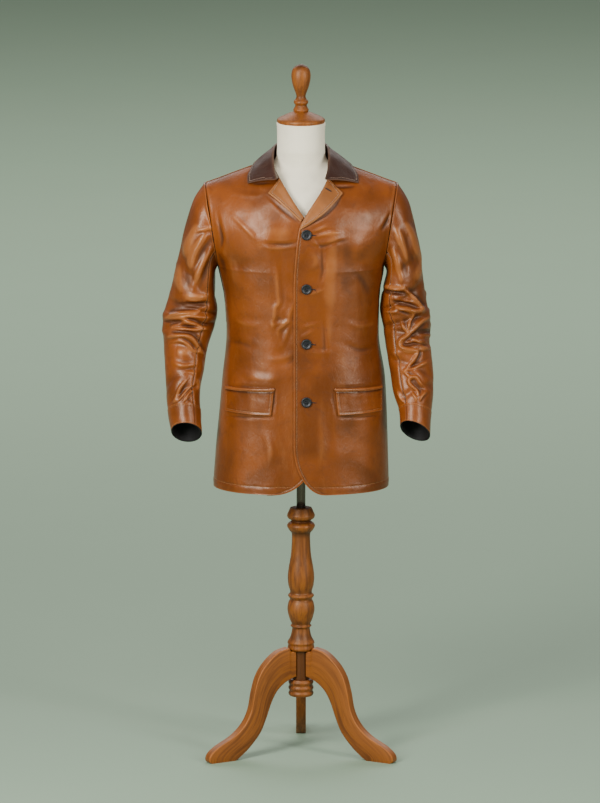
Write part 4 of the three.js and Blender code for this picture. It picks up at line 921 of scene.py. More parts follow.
def wood_material(name, base, dark, board=False):
    """Stained oak: grain in long thin streaks up a turned piece or along a sawn board,
    painted shade in grooves and along a leg's lower edge, a painted highlight along its upper edge."""
    paint = Paint(name)

    def place(across, along):
        if board:
            return paint.node("ShaderNodeCombineXYZ", {}, {
                "X": paint.held("across") * across, "Y": paint.held("through") * across,
                "Z": paint.held("along") * along})
        return paint.place((across, across, along))

    grain = paint.cloud(75.0, 8.0, 0.65, place(1.5, 0.09), 0.6)
    pores = paint.cloud(330.0, 3.0, 0.6, place(1.0, 0.04))
    broad = paint.cloud(7.0, 3.0, 0.5, place(1.0, 0.5))
    groove = paint.held("groove")
    colour = paint.colours(grain.smooth(0.38, 0.64) * 0.85, base, dark)
    colour = paint.colours(pores.smooth(0.56, 0.72) * 0.5, colour, scaled(dark, 0.6))
    colour = paint.colours(broad.smooth(0.4, 0.7) * 0.4, colour, scaled(base, 1.3))
    # painted shade in the turned grooves and along a leg's lower edge, then a painted highlight
    # along its upper edge
    colour = paint.colours(groove.clamp() * 0.8, colour, scaled(dark, 0.45))
    colour = paint.colours((groove * -1.0).clamp() * 0.6, colour, scaled(base, 2.2))
    rough = (0.36 + grain * 0.2).clamp()
    return paint.surface(Base_Color=colour, Roughness=rough, IOR=1.5,
                         Specular_Tint=(1, 0.8, 0.6, 1),
                         Normal=paint.bump(grain + pores * 0.5, 0.25, 0.0006))


def button_material(name, base):
    """Polished horn dyed nearly black, scratched a little."""
    paint = Paint(name)
    swirl = paint.cloud(160.0, 3.0, 0.6, warp=1.5)
    colour = paint.colours(swirl.smooth(0.45, 0.7), base, scaled(base, 2.2))
    return paint.surface(Base_Color=colour, Roughness=(0.34 + swirl * 0.2).clamp(), IOR=1.5)


def pole_material(name, base):
    """Bronzed steel tube with fine rub marks along it."""
    paint = Paint(name)
    rub = paint.cloud(90.0, 4.0, 0.6, paint.place((1, 1, 0.06)))
    colour = paint.colours(rub.smooth(0.4, 0.7), base, scaled(base, 1.8))
    return paint.surface(Base_Color=colour, Metallic=0.8, Roughness=(0.2 + rub * 0.12).clamp())


def floor_material(name, base):
    paint = Paint(name)
    colour = paint.colours(paint.cloud(3.0, 3.0, 0.5), base, scaled(base, 0.97))
    return paint.surface(Base_Color=colour, Roughness=0.7, IOR=1.45)


MATERIALS = {}


def finish_of(name):
    """A material by its plain name, made once from the settings."""
    if name not in MATERIALS:
        look = bpy.context.scene.jacket_leather
        room = bpy.context.scene.jacket_stand
        tan, facing, brown = (tuple(c) for c in (look.leather, look.facing, look.collar))
        wood = (tuple(room.wood), linear(86, 43, 13))
        makers = {
            "leather": (leather_material, tan, look.gloss, linear(192, 120, 64),
                        linear(54, 23, 8)),
            "facing": (leather_material, facing, 0.55, linear(196, 142, 92),
                       linear(84, 44, 18)),
            "collar": (leather_material, brown, 0.5, linear(132, 98, 76),
                       linear(34, 18, 13), 1.2),
            "thread": (thread_material, linear(176, 118, 66)),
            "thread_pale": (thread_material, linear(190, 160, 135)),
            "thread_black": (thread_material, linear(22, 22, 26)),
            "lining": (lining_material, linear(20, 17, 16)),
            "canvas": (canvas_material, tuple(room.canvas)),
            "wood": (wood_material, *wood),
            "board": (wood_material, *wood, True),
            "button": (button_material, linear(15, 16, 19)),
            "steel": (pole_material, linear(84, 74, 66)),
            "floor": (floor_material, linear(140, 162, 136)),
        }
        maker, *values = makers[name]
        MATERIALS[name] = maker(name, *values)
    return MATERIALS[name]


# ------------------------------------------------------------------ body panels
def panel_rows():
    """Rows up a body panel, close together at the hem and its stitching."""
    low = np.concatenate([HEM_ROWS, np.linspace(37, ARMPIT_Z - HEM_Z, 120)])
    return np.concatenate([low + HEM_Z - ARMPIT_Z, np.linspace(0, 1, 101)[1:]])


def column_share(t, bend, power):
    """Shares across a row, closer together where the body turns to its side."""
    limit = np.arcsin(np.minimum(1, bend ** (power / 2)))
    return np.sin(limit * t) ** (2 / power) / bend


NEAR_EDGE = np.array([0, 0.7, 1.5, 2.5, 3.5, 4.5, 5.3, 6, 6.6, 7.2, 8, 9, 10.5, 12.5, 15])


def seam_profile(gap, raised=0.7, dip=1.3):
    """The edge of a panel at a seam: it dips into the seam, and stands a little proud
    where the turned edge lies under it."""
    return raised * bell((gap - 6) / 3.4) - dip * bell(gap / 1.5)


def stitch_channel(gap, depth=0.45, width=1.3):
    """The groove that a row of stitches pulls into the leather."""
    return -depth * bell(gap / width)


def hem_relief(grid, seed, kept=1.0):
    """Along the hem: the stitches' groove, the turned edge under it, and small puckers."""
    rise = grid[..., 2] - HEM_Z
    return (stitch_channel(rise - HEM_STITCH, 0.5, 1.6) + 0.5 * bell((rise - 12) / 6)) * kept \
        + 0.25 * noise(grid, 1 / 14, seed, 1) * bell((rise - HEM_STITCH) / 9)


def wear_and_painted_light(source, relief, edge):
    """What leather shows at its points: how high or low it lies, pale on worn edges, and painted
    shade in seams and along stitching.
    """
    return {"relief": relief.ravel()[source], "edge": edge.ravel()[source]}


def seam_row(pairs):
    """A row for stitches from pairs of a point and its normal."""
    pairs = np.array(pairs)
    return pairs[:, 0], pairs[:, 1]


def front_grid(side):
    """A front's outer points, in rows from its own edge to the side seam, and how far
    from the middle they lie."""
    rows = panel_rows()
    half, bend = half_width(side, rows)
    start = front_start(side, np.where(rows <= 0, ARMPIT_Z + rows, mix(ARMPIT_Z, RIDGE_Z, rows)))
    for _ in range(8):
        start = front_start(side, body_point("front", side, rows, start)[:, 2])
    width = half - start
    t = np.linspace(0, 1, 84)[None]
    near = NEAR_EDGE[None] / width[:, None]
    far = column_share(t, bend[:, None], ROUNDNESS["front"])
    far = near[:, -1:] + (1 - near[:, -1:]) * far[:, 1:]
    share = np.concatenate([near, far], 1)
    distance = start[:, None] + width[:, None] * share
    return rows, distance, body_point("front", side, rows[:, None], distance)


def closed_panel(name, face, rows, grid, start_gap, seam_gap, relief, ends):
    """Pushes a panel's outer grid in and out by its relief, gives it its inner side and
    closes it. At a seam the wall lies in the seam's own plane."""
    normals = turned(grid_normals(grid), np.add(OUTWARD[face], (0, 0, 0.2)))
    outer = grid + normals * relief[..., None]
    none, side = np.zeros_like(relief), np.sign(outer[..., 0])
    across = (ARMHOLE_MIDDLE - outer) * (0, 1, 1)
    at_side = np.where((rows > 0)[:, None, None], unit(across), np.stack([-side, none, none], -1))
    inward = unit(mix(-normals, at_side, ease(1 - seam_gap / 7)[..., None]))
    top = np.zeros(len(rows))
    top[-9:] = ease(np.linspace(0, 1, 9))
    slope = np.stack([-0.44 * side, none, none - 0.9], -1)
    steep = top[:, None] * ease((np.abs(outer[..., 0]) - 60) / 12)
    inward = unit(mix(inward, slope, steep[..., None]))
    points, faces, source, kinds = shell(outer, outer + inward * WALL, bulge=0.55)
    # the inside is lined, but for a leather facing along the front edges
    lined = (kinds == 1) & (start_gap.ravel()[source] > 62)[faces[:, 0]]
    return make_piece(name, points, faces, "leather lining",
                      "leather", wear_and_painted_light(source, relief / 3, ends), lined), outer, normals


class JACKET_OT_fronts(Operator):
    """Both fronts, with their edge and hem stitching"""
    bl_idname = "jacket.fronts"
    bl_label = "Fronts"

    def execute(self, context):
        for side, name, flat, area, painted_shade in ((1, "left", (0.30, 0.81), 0.205, 0.24),
                                            (-1, "right", (0.32, 0.81), 0.215, 0.08)):
            rows, distance, grid = front_grid(side)
            z = grid[..., 2]
            rise = z - HEM_Z
            lean = np.gradient(distance[:, 0]) / np.maximum(np.gradient(z[:, 0]), 1e-3)
            gap_edge = (distance - distance[:, :1]) / np.sqrt(1 + lean[:, None] ** 2)
            gap_seam = travelled(grid[:, ::-1], 1)[:, ::-1]
            straight = ease((1330 - z) / 30)
            hem = ease((gap_edge - 8) / 6)
            relief = body_relief("front", side, grid) * ease(gap_seam / 14)
            relief += seam_profile(gap_seam) * ease(rise / 12) + hem_relief(grid, 9, hem)
            relief += (stitch_channel(gap_edge - EDGE_STITCH)
                       + 0.4 * bell((gap_edge - 2.5) / 2.6)) * straight
            relief -= 1.1 * bell(np.linspace(62, 0, len(rows))[:, None] / 0.8)
            # pale along the front edge, the hem and beside the side seam, where worn; painted shade
            # in the side seam and along the stitching
            ends = np.maximum(0.8 * bell(gap_edge / 1.5) * straight, 0.8 * bell(rise / 2))
            ends = np.maximum(ends, 0.35 * bell((gap_seam - 5) / 3)) - 0.8 * bell(gap_seam / 2)
            ends -= 0.75 * bell((gap_edge - EDGE_STITCH) / 1.5) * straight
            ends -= 0.35 * bell((rise - HEM_STITCH) / 1.6) * hem
            # painted shade, darker towards the hem and most of all on the left front, which faces
            # away from the key lamp
            ends -= painted_shade * ease((1330 - z) / 240)
            piece, outer, normals = closed_panel(f"front_{name}_leather", "front", rows, grid,
                                                 gap_edge, gap_seam, relief, ends)
            sewn = stitches(f"front_{name}_stitching", self.seams(outer, normals, gap_edge))
            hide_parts(f"front_{name}")
        return {"FINISHED"}

    @staticmethod
    def seams(outer, normals, gap_edge):
        """Rows of stitches: down the front edge, where the distance from it has the
        stitch's value, and along the hem."""
        heights, edge = outer[:, 0, 2], []
        for i in np.nonzero((heights > HEM_Z + 6) & (heights < 1322))[0]:
            k = int(np.argmax(gap_edge[i] > EDGE_STITCH)) - 1
            if k >= 0:
                edge.append(at_level(gap_edge[i], EDGE_STITCH, k, outer[i], normals[i]))
        first = int(np.argmax(gap_edge[HEM_ROW] > 8))
        return [seam_row(edge), (outer[HEM_ROW, first:-1], normals[HEM_ROW, first:-1])]


class JACKET_OT_back(Operator):
    """The back, with its hem stitching"""
    bl_idname = "jacket.back"
    bl_label = "Back"

    def execute(self, context):
        rows = panel_rows()[:, None]
        t = np.linspace(-1, 1, 121)[None]
        grids = []
        for side in (-1, 1):
            half, bend = half_width(side, rows)
            share = column_share(np.abs(t), bend, ROUNDNESS["back"])
            dipped = rows - neck_dip(share * half) * ease((rows - 0.5) / 0.5)
            here = np.where(rows > 0.5, dipped, rows)
            grids.append(body_point("back", side, here, share * half_width(side, here)[0]))
        grid = np.where((t < 0)[..., None], *grids)
        gap_seam = travelled(grid, 1)
        gap_seam = np.minimum(gap_seam, gap_seam[:, -1:] - gap_seam)
        relief = np.where(t < 0, body_relief("back", -1, grid), body_relief("back", 1, grid))
        rise = grid[..., 2] - HEM_Z
        middle = np.abs(grid[..., 0])
        seam = ease((1425 - grid[..., 2]) / 20)
        relief = relief * ease(gap_seam / 25) + seam_profile(gap_seam) * ease(rise / 12)
        relief += hem_relief(grid, 8)
        relief += (0.6 * bell((middle - 5) / 3) - 1.0 * bell(middle / 1.3)) * seam
        # pale at the hem and beside the seams, where worn; painted shade along the hem stitching
        # and in the middle seam
        ends = np.maximum(bell(rise / 2.5), 0.7 * bell((gap_seam - 5) / 3))
        ends = np.maximum(ends, 0.4 * bell((middle - 4) / 2.5) * seam)
        ends -= 0.35 * bell((rise - HEM_STITCH) / 1.6) + 0.7 * bell(middle / 1.6) * seam
        piece, outer, normals = closed_panel("back_leather", "back", rows[:, 0], grid,
                                             np.full_like(relief, 99.0), gap_seam, relief, ends)
        row = (outer[HEM_ROW, 1:-1], normals[HEM_ROW, 1:-1])
        sewn = stitches("back_stitching", [row])
        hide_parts("back")
        return {"FINISHED"}


# ------------------------------------------------------------------ sleeves
def sleeve_surface(side, share, angle):
    """A sleeve's point: a Catmull-Rom line down through the rings at one angle. A ring is
    an oval from its outer to its inner point, its front turned up by the pitch."""
    share, angle = np.broadcast_arrays(np.asarray(share, float), np.asarray(angle, float))
    c, s = np.cos(np.radians(angle)), np.sin(np.radians(angle))
    rings = [armhole(angle) + (SEAM, 0, 0)]
    for out_x, out_z, in_x, in_z, y, depth, pitch in SLEEVE[side]:
        p = math.radians(pitch)
        rings.append(np.stack([
            mix(in_x, out_x, (1 + c) / 2), y - depth * s * math.cos(p),
            mix(in_z, out_z, (1 + c) / 2) + depth * s * math.sin(p)], -1))
    rings = np.stack(rings)
    last = len(rings) - 1
    place = share * last
    i = np.minimum(last - 1, place.astype(int))
    t = (place - i)[..., None]

    def ring(k):
        k = np.clip(k, 0, last)
        return np.take_along_axis(rings, k[None, ..., None], 0)[0]

    a, b, c2, d = ring(i - 1), ring(i), ring(i + 1), ring(i + 2)
    point = 0.5 * (2 * b + (c2 - a) * t + (2 * a - 5 * b + 4 * c2 - d) * t ** 2
                   + (3 * b - a - 3 * c2 + d) * t ** 3)
    point[..., 0] *= side
    return point


def sleeve_fold(side, share, angle):
    """Main folds across a sleeve: a bell of the way down, climbing round the arm."""
    height = np.zeros(share.shape)
    for at, middle, reach, climb, width, depth in SLEEVE_FOLDS[side]:
        turn = ((angle - middle + 540) % 360 - 180) / reach
        height += depth * bell((share - at - climb * turn) / width) \
            * ease((1 - np.abs(turn)) * 1.6)
    return height


def sleeve_normals(grid, side, shares):
    """Normals of a sleeve's grid that point away from the arm's middle line."""
    middle = sleeve_surface(side, shares[:, :1], np.arange(0, 360, 30.0)[None])
    return turned(grid_normals(grid), grid - middle.mean(1)[:, None])


def sleeve_relief(side, points, share, angle):
    """The listed creases of a sleeve and a soft unevenness all round."""
    height = np.zeros_like(share)
    for face, way in (("front", 1), ("back", -1)):
        facing = ease((way * np.sin(np.radians(angle)) + 0.12) / 0.3)
        height += 1.6 * crease_height(*chart(points, face), SLEEVE_CREASES[face, side]) * facing
    return height + 0.7 * noise(points, 1 / 60, 12 + side, 2) * ease(share / 0.1)


def sleeve_part(side, name, start, stop, columns, shares):
    """One of the two cuts of a sleeve, from one long seam to the other."""
    near = np.array([0, 0.6, 1.6])  # degrees from a seam
    angle = np.concatenate([start + near, np.linspace(start + 3.2, stop - 3.2, columns),
                            stop - near[::-1]])
    share, angle = np.meshgrid(shares, angle, indexing="ij")
    base = sleeve_surface(side, share, angle)
    normals = sleeve_normals(base, side, share)
    fold = sleeve_fold(side, share, angle) * ease((CUFF_START - share) / 0.02)
    gap = travelled(base, 1)
    gap = np.minimum(gap, gap[:, -1:] - gap)
    fine = sleeve_relief(side, base + normals * fold[..., None], share, angle)
    fine = fine * ease((CUFF_START + 0.005 - share) / 0.03)
    down = share * SLEEVE_LENGTH
    cap = 1.5 * bell((down - 5) / 4) - 1.2 * bell(down / 1.6)
    relief = fine + seam_profile(gap, 0.6, 1.2) + cap
    outer = base + normals * (fold + relief)[..., None]
    normals = sleeve_normals(outer, side, share)
    inner = outer - normals * WALL
    inner[0] = outer[0] + unit((ARMHOLE_MIDDLE - outer[0]) * (0, 1, 1)) * WALL
    points, faces, source, kinds = shell(outer, inner, bulge=0.4)
    # pale beside the seams and round the cap, where worn; painted shade in the seams
    ends = np.maximum(0.45 * bell((gap - 4.5) / 3), 0.9 * bell((down - 5) / 3))
    ends -= 0.8 * np.maximum(bell(gap / 1.8), bell(down / 1.8))
    piece = make_piece(name, points, faces, "leather lining",
                       "leather", wear_and_painted_light(source, (fine + 0.25 * fold) / 3, ends), kinds == 1)
    return piece, outer, normals, gap


class JACKET_OT_sleeves(Operator):
    """Top and under sleeves, with the stitching along their front seams"""
    bl_idname = "jacket.sleeves"
    bl_label = "Sleeves"

    def execute(self, context):
        shares = np.concatenate([[0, 0.001, 0.003, 0.006], np.linspace(0.01, CUFF_START, 230)])
        front, back = SLEEVE_SEAMS
        for side, name in ((1, "left"), (-1, "right")):
            top, outer, normals, gap = sleeve_part(
                side, f"sleeve_top_{name}_leather", back, front + 360, 100, shares)
            i = np.arange(len(shares))
            column = outer.shape[1] - 1 - np.argmax(gap[:, ::-1] > 2.6, axis=1)
            row = (outer[i, column][6:-2], normals[i, column][6:-2])
            sewn = stitches(f"sleeve_{name}_stitching", [row])
            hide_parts(f"sleeve_top_{name}")
            under, *_ = sleeve_part(side, f"sleeve_under_{name}_leather", front, back, 56, shares)
            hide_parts(f"sleeve_under_{name}")
        return {"FINISHED"}


def cuff_rings(side, shares):
    """Rings of a cuff: their shares and angles, points, and normals that point outwards."""
    share, turn = np.meshgrid(shares, np.linspace(0, 360, 113)[:-1], indexing="ij")
    base = sleeve_surface(side, share, turn)
    away = base - base.mean(1, keepdims=True)
    return share, turn, base, turned(grid_normals(base, True), away)


class JACKET_OT_cuffs(Operator):
    """The cuff bands and the lining that shows inside them"""
    bl_idname = "jacket.cuffs"
    bl_label = "Cuffs"

    def execute(self, context):
        shares = np.concatenate([[0.9, 0.901, 0.903, 0.906, 0.909, 0.912],
                                 np.linspace(0.916, 0.986, 26), [0.99, 0.994, 0.997, 1.0]])
        upper, lower = 4, 32  # rings that are stitched
        for side, name in ((1, "left"), (-1, "right")):
            share, turn, base, normals = cuff_rings(side, shares)
            down = (share - CUFF_START) * SLEEVE_LENGTH
            seam = np.abs(((turn - SLEEVE_SEAMS[0] + 180) % 360) - 180)
            relief = 1.0 + 0.5 * noise(base, 1 / 40, 21 + side, 2) \
                + stitch_channel(down - SMALL_STITCH) + stitch_channel(down - 56) \
                - 0.9 * bell(seam / 1.4) + 0.5 * bell((seam - 4.5) / 2.5)
            outer = base + normals * relief[..., None]
            points, faces, source, kinds = shell(outer, outer - normals * (WALL + 0.6),
                                                 ring=True, bulge=0.8)
            # pale at both edges, where worn; painted shade in the seam and along the upper
            # stitching
            ends = 0.6 * np.maximum(bell(down / 3), bell((down - 62) / 3)) \
                - 0.5 * bell(seam / 1.6) - 0.4 * bell((down - SMALL_STITCH) / 1.4)
            # the lining comes out to the opening's rim
            lined = (kinds > 0) & (source[faces].min(1) >= outer[:-6].size // 3)
            cuff = make_piece(f"cuff_{name}_leather", points, faces,
                              "leather lining", "leather",
                              wear_and_painted_light(source, (relief - 1) / 2, ends), lined)
            rows = [(np.append(outer[k], outer[k, :1], 0), np.append(normals[k], normals[k, :1], 0))
                    for k in (upper, lower)]
            sewn = stitches(f"cuff_{name}_stitching", rows)
            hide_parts(f"cuff_{name}")
            _, _, base, normals = cuff_rings(side, np.linspace(0.91, 0.993, 18))
            ripple = 0.5 * noise(base, 1 / 18, 31, 2)
            outer = base - normals * (2.4 + 0.3 * ripple)[..., None]
            points, faces, *_ = shell(outer, outer - normals * 0.9, ring=True)
            lining = make_piece(f"cuff_{name}_lining_cloth", points, faces, "lining",
                                "lining")
            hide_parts(f"cuff_lining_{name}")
        return {"FINISHED"}


# ------------------------------------------------------------------ lapels and pockets
def patch(side, at, rows, columns, low, thick):
    """Outer and inner points of a piece that lies on a front, its normals and the two
    shares. at(a, b) gives the distance across and the height of a share of the way up and
    across, and low(a, b) how far the piece lies over the leather under it."""
    a, b = np.meshgrid(rows, columns, indexing="ij")
    x, z = at(a, b)
    outer, normal = on_body("front", side, x, z, low(a, b) + thick(a))
    inner, _ = on_body("front", side, x, z, low(a, b))
    return outer, inner, normal, a, b


def lapel_place(side):
    """The lapel's outline on its front, from the fold (b 0) to the free edge (b 1), and
    from the break (a 0) to the gorge seam (a 1)."""
    bottom = (-2.5, 1306.0) if side > 0 else (-4.5, 1331.0)
    low = (-2.0, 1302.5) if side > 0 else (1.0, 1321.0)
    top = (float(front_start(side, GORGE[1])) + 0.5, GORGE[1] - 1.5)
    tip = (97.0, 1379.0) if side > 0 else (76.0, 1381.0)

    def at(a, b):
        fold_z = mix(bottom[1], top[1], a)
        fold_x = front_start(side, fold_z) + 0.5
        belly = (5 if side > 0 else -2) * np.sin(math.pi * a)
        edge_x = mix(low[0], tip[0], a) + belly * 0.5
        edge_z = mix(low[1], tip[1], a) - belly
        return mix(fold_x, edge_x, b), mix(fold_z, edge_z, b)
    return at


class JACKET_OT_lapels(Operator):
    """The lapel facings, rolled over the fronts, with edge stitching and a buttonhole"""
    bl_idname = "jacket.lapels"
    bl_label = "Lapels"

    def execute(self, context):
        for side, name in ((1, "left"), (-1, "right")):
            at = lapel_place(side)
            rows = np.concatenate([[0, 0.01, 0.03], np.linspace(0.05, 0.95, 56), [0.97, 0.99, 1]])
            columns = np.concatenate([[0, 0.012, 0.03], np.linspace(0.055, 0.945, 40),
                                      [0.97, 0.988, 1]])

            def low(a, b):
                return LIE + 2.5 * ease((b - 0.5) / 0.5) * ease(a * 2)

            outer, inner, normal, *_ = patch(side, at, rows, columns, low, lambda a: THICK)
            from_fold, from_low = travelled(outer, 1), travelled(outer, 0)
            gap = np.minimum(from_fold[:, -1:] - from_fold, from_low[-1:] - from_low)
            relief = stitch_channel(gap - SMALL_STITCH, 0.4, 1.2) \
                + 0.35 * bell((gap - 2) / 2) + 0.3 * noise(outer, 1 / 30, 40, 2)
            # the roll: near the fold the leather turns down round the front's edge
            roll = bell(from_fold / 3.0)
            relief = relief - 2.2 * roll
            outer = outer + normal * relief[..., None]
            points, faces, source, _ = shell(outer, inner - normal * (1.2 * roll)[..., None])
            # pale at the edge and the roll, where worn; painted shade along the stitching
            ends = np.maximum(0.8 * bell(gap / 1.6), 0.3 * bell(from_fold / 4)) \
                - 0.55 * bell((gap - SMALL_STITCH) / 1.3)
            held = wear_and_painted_light(source, relief / 6, ends)
            lapel = make_piece(f"lapel_{name}_facing", points, faces, "facing",
                               "facing", held)
            sewn = [stitches(f"lapel_{name}_stitching", [self.inside(outer, normal, gap)],
                             "thread_pale", 3.0, 0.3)]
            if side > 0:
                sewn.append(buttonhole("lapel_buttonhole", side, (57, 1392.5), (71.5, 1384.5),
                                       LIE + 2.7 + 0.5))
            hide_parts(f"lapel_{name}")
        return {"FINISHED"}

    @staticmethod
    def inside(outer, normal, gap):
        """The line that keeps the stitches' distance inside the free edge and the gorge."""
        line, corner = [], 0

        def add(values, *grids):
            k = np.nonzero((values[:-1] >= SMALL_STITCH) & (values[1:] < SMALL_STITCH))[0]
            if len(k):
                line.append(at_level(values, SMALL_STITCH, k[-1], *grids))
                return int(k[-1])
            return None

        for i in range(2, len(outer)):
            found = add(gap[i], outer[i], normal[i])
            corner = corner if found is None else found
        for j in range(corner, 3, -1):
            add(gap[:, j], outer[:, j], normal[:, j])
        return seam_row(line)


def buttonhole(name, side, start, end, lift):
    """A worked buttonhole: a slit of dark thread between two points of a front, a flat
    lens whose height is half a cosine of the way across."""
    t = np.linspace(0, 1, 30)
    s = np.linspace(-1, 1, 9)
    way, cross = np.meshgrid(t, s, indexing="ij")
    dx, dz = end[0] - start[0], end[1] - start[1]
    length = math.hypot(dx, dz)
    half = 1.15 * np.clip(np.sin(math.pi * np.clip(way, 0.03, 0.97)), 0, 1) ** 0.3
    x = start[0] + dx * way - dz / length * cross * half
    z = start[1] + dz * way + dx / length * cross * half
    rise = 0.7 * np.cos(cross * math.pi / 2) ** 0.5 - 0.5 * bell(cross / 0.25)
    outer, normal = on_body("front", side, x, z, lift + np.maximum(rise, 0.05))
    inner, _ = on_body("front", side, x, z, lift - 0.5)
    points, faces, *_ = shell(outer, inner, rim=2)
    return make_piece(name, points, faces, "thread_black")


class JACKET_OT_pockets(Operator):
    """Pocket welts and flaps, with their stitching"""
    bl_idname = "jacket.pockets"
    bl_label = "Pockets"

    def execute(self, context):
        fine = np.concatenate([[0, 0.008, 0.02, 0.04], np.linspace(0.065, 0.935, 60),
                               [0.96, 0.98, 0.992, 1]])
        for side, name in ((1, "left"), (-1, "right")):
            start, end = (83.0, 191.0) if side > 0 else (66.0, 178.0)

            def flap_at(a, b):
                taper = POCKET["taper"] * (1 - a)
                x = mix(start + taper, end - taper * 0.2, 1 - (1 - b) ** 1.25)
                top = POCKET["top"] - POCKET["welt"] - 0.6 - POCKET["drop"] * b
                return x, mix(POCKET["flap"], top, a)

            def low(a, b):
                return LIE + 1.6 * (1 - a) ** 2

            outer, inner, normal, a, _ = patch(side, flap_at, fine[::2], fine, low,
                                               lambda a: THICK)
            from_start, from_low = travelled(outer, 1), travelled(outer, 0)
            gap = np.minimum(np.minimum(from_start, from_start[:, -1:] - from_start), from_low)
            relief = stitch_channel(gap - 5, 0.45, 1.2) + 0.45 * bell((gap - 1.8) / 2) \
                + 0.45 * noise(outer, 1 / 34, 51 + side, 2)
            outer = outer + normal * relief[..., None]
            points, faces, source, _ = shell(outer, inner)
            # pale at the edges, where worn; a little darker all over; painted shade along the
            # stitching and at the top under the welt
            ends = 0.7 * bell(gap / 1.8) - 0.12 - 0.5 * bell((gap - 5) / 1.3) \
                - bell((a - 1) / 0.07)
            held = wear_and_painted_light(source, relief / 2.2, ends)
            flap = make_piece(f"pocket_flap_{name}_leather", points, faces,
                              "leather", "leather", held)
            line = self.round_edge(outer, normal, from_start, from_low, 5.0)
            sewn = stitches(f"pocket_flap_{name}_stitching", [line])
            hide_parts(f"pocket_flap_{name}")

            def welt_at(a, b):
                x = mix(start - 2, end + 1, 1 - (1 - b) ** 1.25)
                return x, POCKET["top"] - POCKET["welt"] * (1 - a) - POCKET["drop"] * b

            def welt_thick(a):
                return 2 + 1.4 * np.sin(math.pi * a) - 0.5 * bell((a - 0.14) / 0.09)

            outer, inner, normal, a, _ = patch(side, welt_at, np.linspace(0, 1, 13), fine,
                                               lambda a, b: LIE + 0 * a, welt_thick)
            points, faces, source, _ = shell(outer, inner)
            # paler along its rounded middle; painted shade along its lower and upper edges
            ends = 0.7 * bell((a - 0.6) / 0.3) - 0.5 * bell(a / 0.15) - 0.6 * bell((a - 1) / 0.12)
            held = wear_and_painted_light(source, np.full_like(a, 0.12), ends)
            welt = make_piece(f"pocket_welt_{name}_leather", points, faces,
                              "leather", "leather", held)
            line = (outer[2, 2:-2], normal[2, 2:-2])
            sewn = stitches(f"pocket_welt_{name}_stitching", [line])
            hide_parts(f"pocket_welt_{name}")
        return {"FINISHED"}

    @staticmethod
    def round_edge(outer, normal, from_start, from_low, level):
        """Down one end of a flap, along its lower edge and up the other end."""
        rows, columns = from_start.shape

        def point(grid, i, j):
            i0, j0 = int(min(i, rows - 2)), int(min(j, columns - 2))
            return mix(mix(grid[i0, j0], grid[i0, j0 + 1], j - j0),
                       mix(grid[i0 + 1, j0], grid[i0 + 1, j0 + 1], j - j0), i - i0)

        low = float(np.interp(level, from_low[:, columns // 2], np.arange(rows)))
        gap = from_start[:, -1:] - from_start
        left = [float(np.interp(level, row, np.arange(columns))) for row in from_start]
        right = [float(np.interp(-level, -row, np.arange(columns))) for row in gap]
        path = [(i, left[i]) for i in range(rows - 1, int(low), -1)]
        path += [(low, j) for j in np.linspace(left[int(low)], right[int(low)], 60)]
        path += [(i, right[i]) for i in range(int(low) + 1, rows)]
        return seam_row([(point(outer, i, j), point(normal, i, j)) for i, j in path])


# ------------------------------------------------------------------ collar
def collar_section(side, at):
    """One section of the collar: foot, top of the stand, fold, top of the fall, two
    points down the fall, and the free edge that lies on the body."""
    value = {k: float(along(COLLAR[:, 0], COLLAR[:, i], at)) for i, k in enumerate(
        ("at", "roll_x", "roll_y", "roll_z", "edge_x", "edge_z", "foot_x"))}
    roll = np.array([side * value["roll_x"], value["roll_y"], value["roll_z"]])
    x = value["edge_x"] + side * 5 * at
    ridge = ridge_height(x)
    if abs(at - 0.5) < 0.01:
        edge = np.array([side * x, SIDE_Y, ridge + COLLAR_WALL + 3])
    else:
        face = "back" if at < 0.5 else "front"
        edge = on_body(face, side, x, min(value["edge_z"], ridge - 0.5),
                       COLLAR_WALL + LIE + 0.2, False)[0]
    away = unit((edge - roll) * (1, 1, 0))
    if at < 0.5:
        foot = body_point("back", side, 1 - neck_dip(value["foot_x"]), value["foot_x"])
    else:
        z = float(along(COLLAR[3:, 0], COLLAR[3:, 7], at))
        foot = on_body("front", side, front_start(side, z), z, 0.0, False)[0]
    foot = foot - away * 0.4 + (0, 0, 1.0)
    stand = roll - away * COLLAR_FOLD - (0, 0, min(COLLAR_FOLD * 1.2, (roll[2] - foot[2]) * 0.5))
    fall = roll + away * COLLAR_FOLD - (0, 0, COLLAR_FOLD * 0.9)
    section = [foot, stand, roll, fall]
    for share in (0.33, 0.68):
        point = mix(fall, edge, share) + (0, 0, 2.5 * math.sin(math.pi * share))
        section.append(clear_of_body(point, side, COLLAR_WALL + LIE + 0.4))
    return np.array(section + [edge])


def clear_of_body(point, side, lift):
    """The point, or the one on the leather's own height where it would lie inside."""
    x = abs(point[0])
    ridge = ridge_height(x)
    if point[2] > ridge + lift:
        return point
    face, out = ("front", -1) if point[1] < SIDE_Y else ("back", 1)
    surface = on_body(face, side, x, min(point[2], ridge - 0.5), lift, False)[0]
    return surface if out * (surface[1] - point[1]) > 0 else point


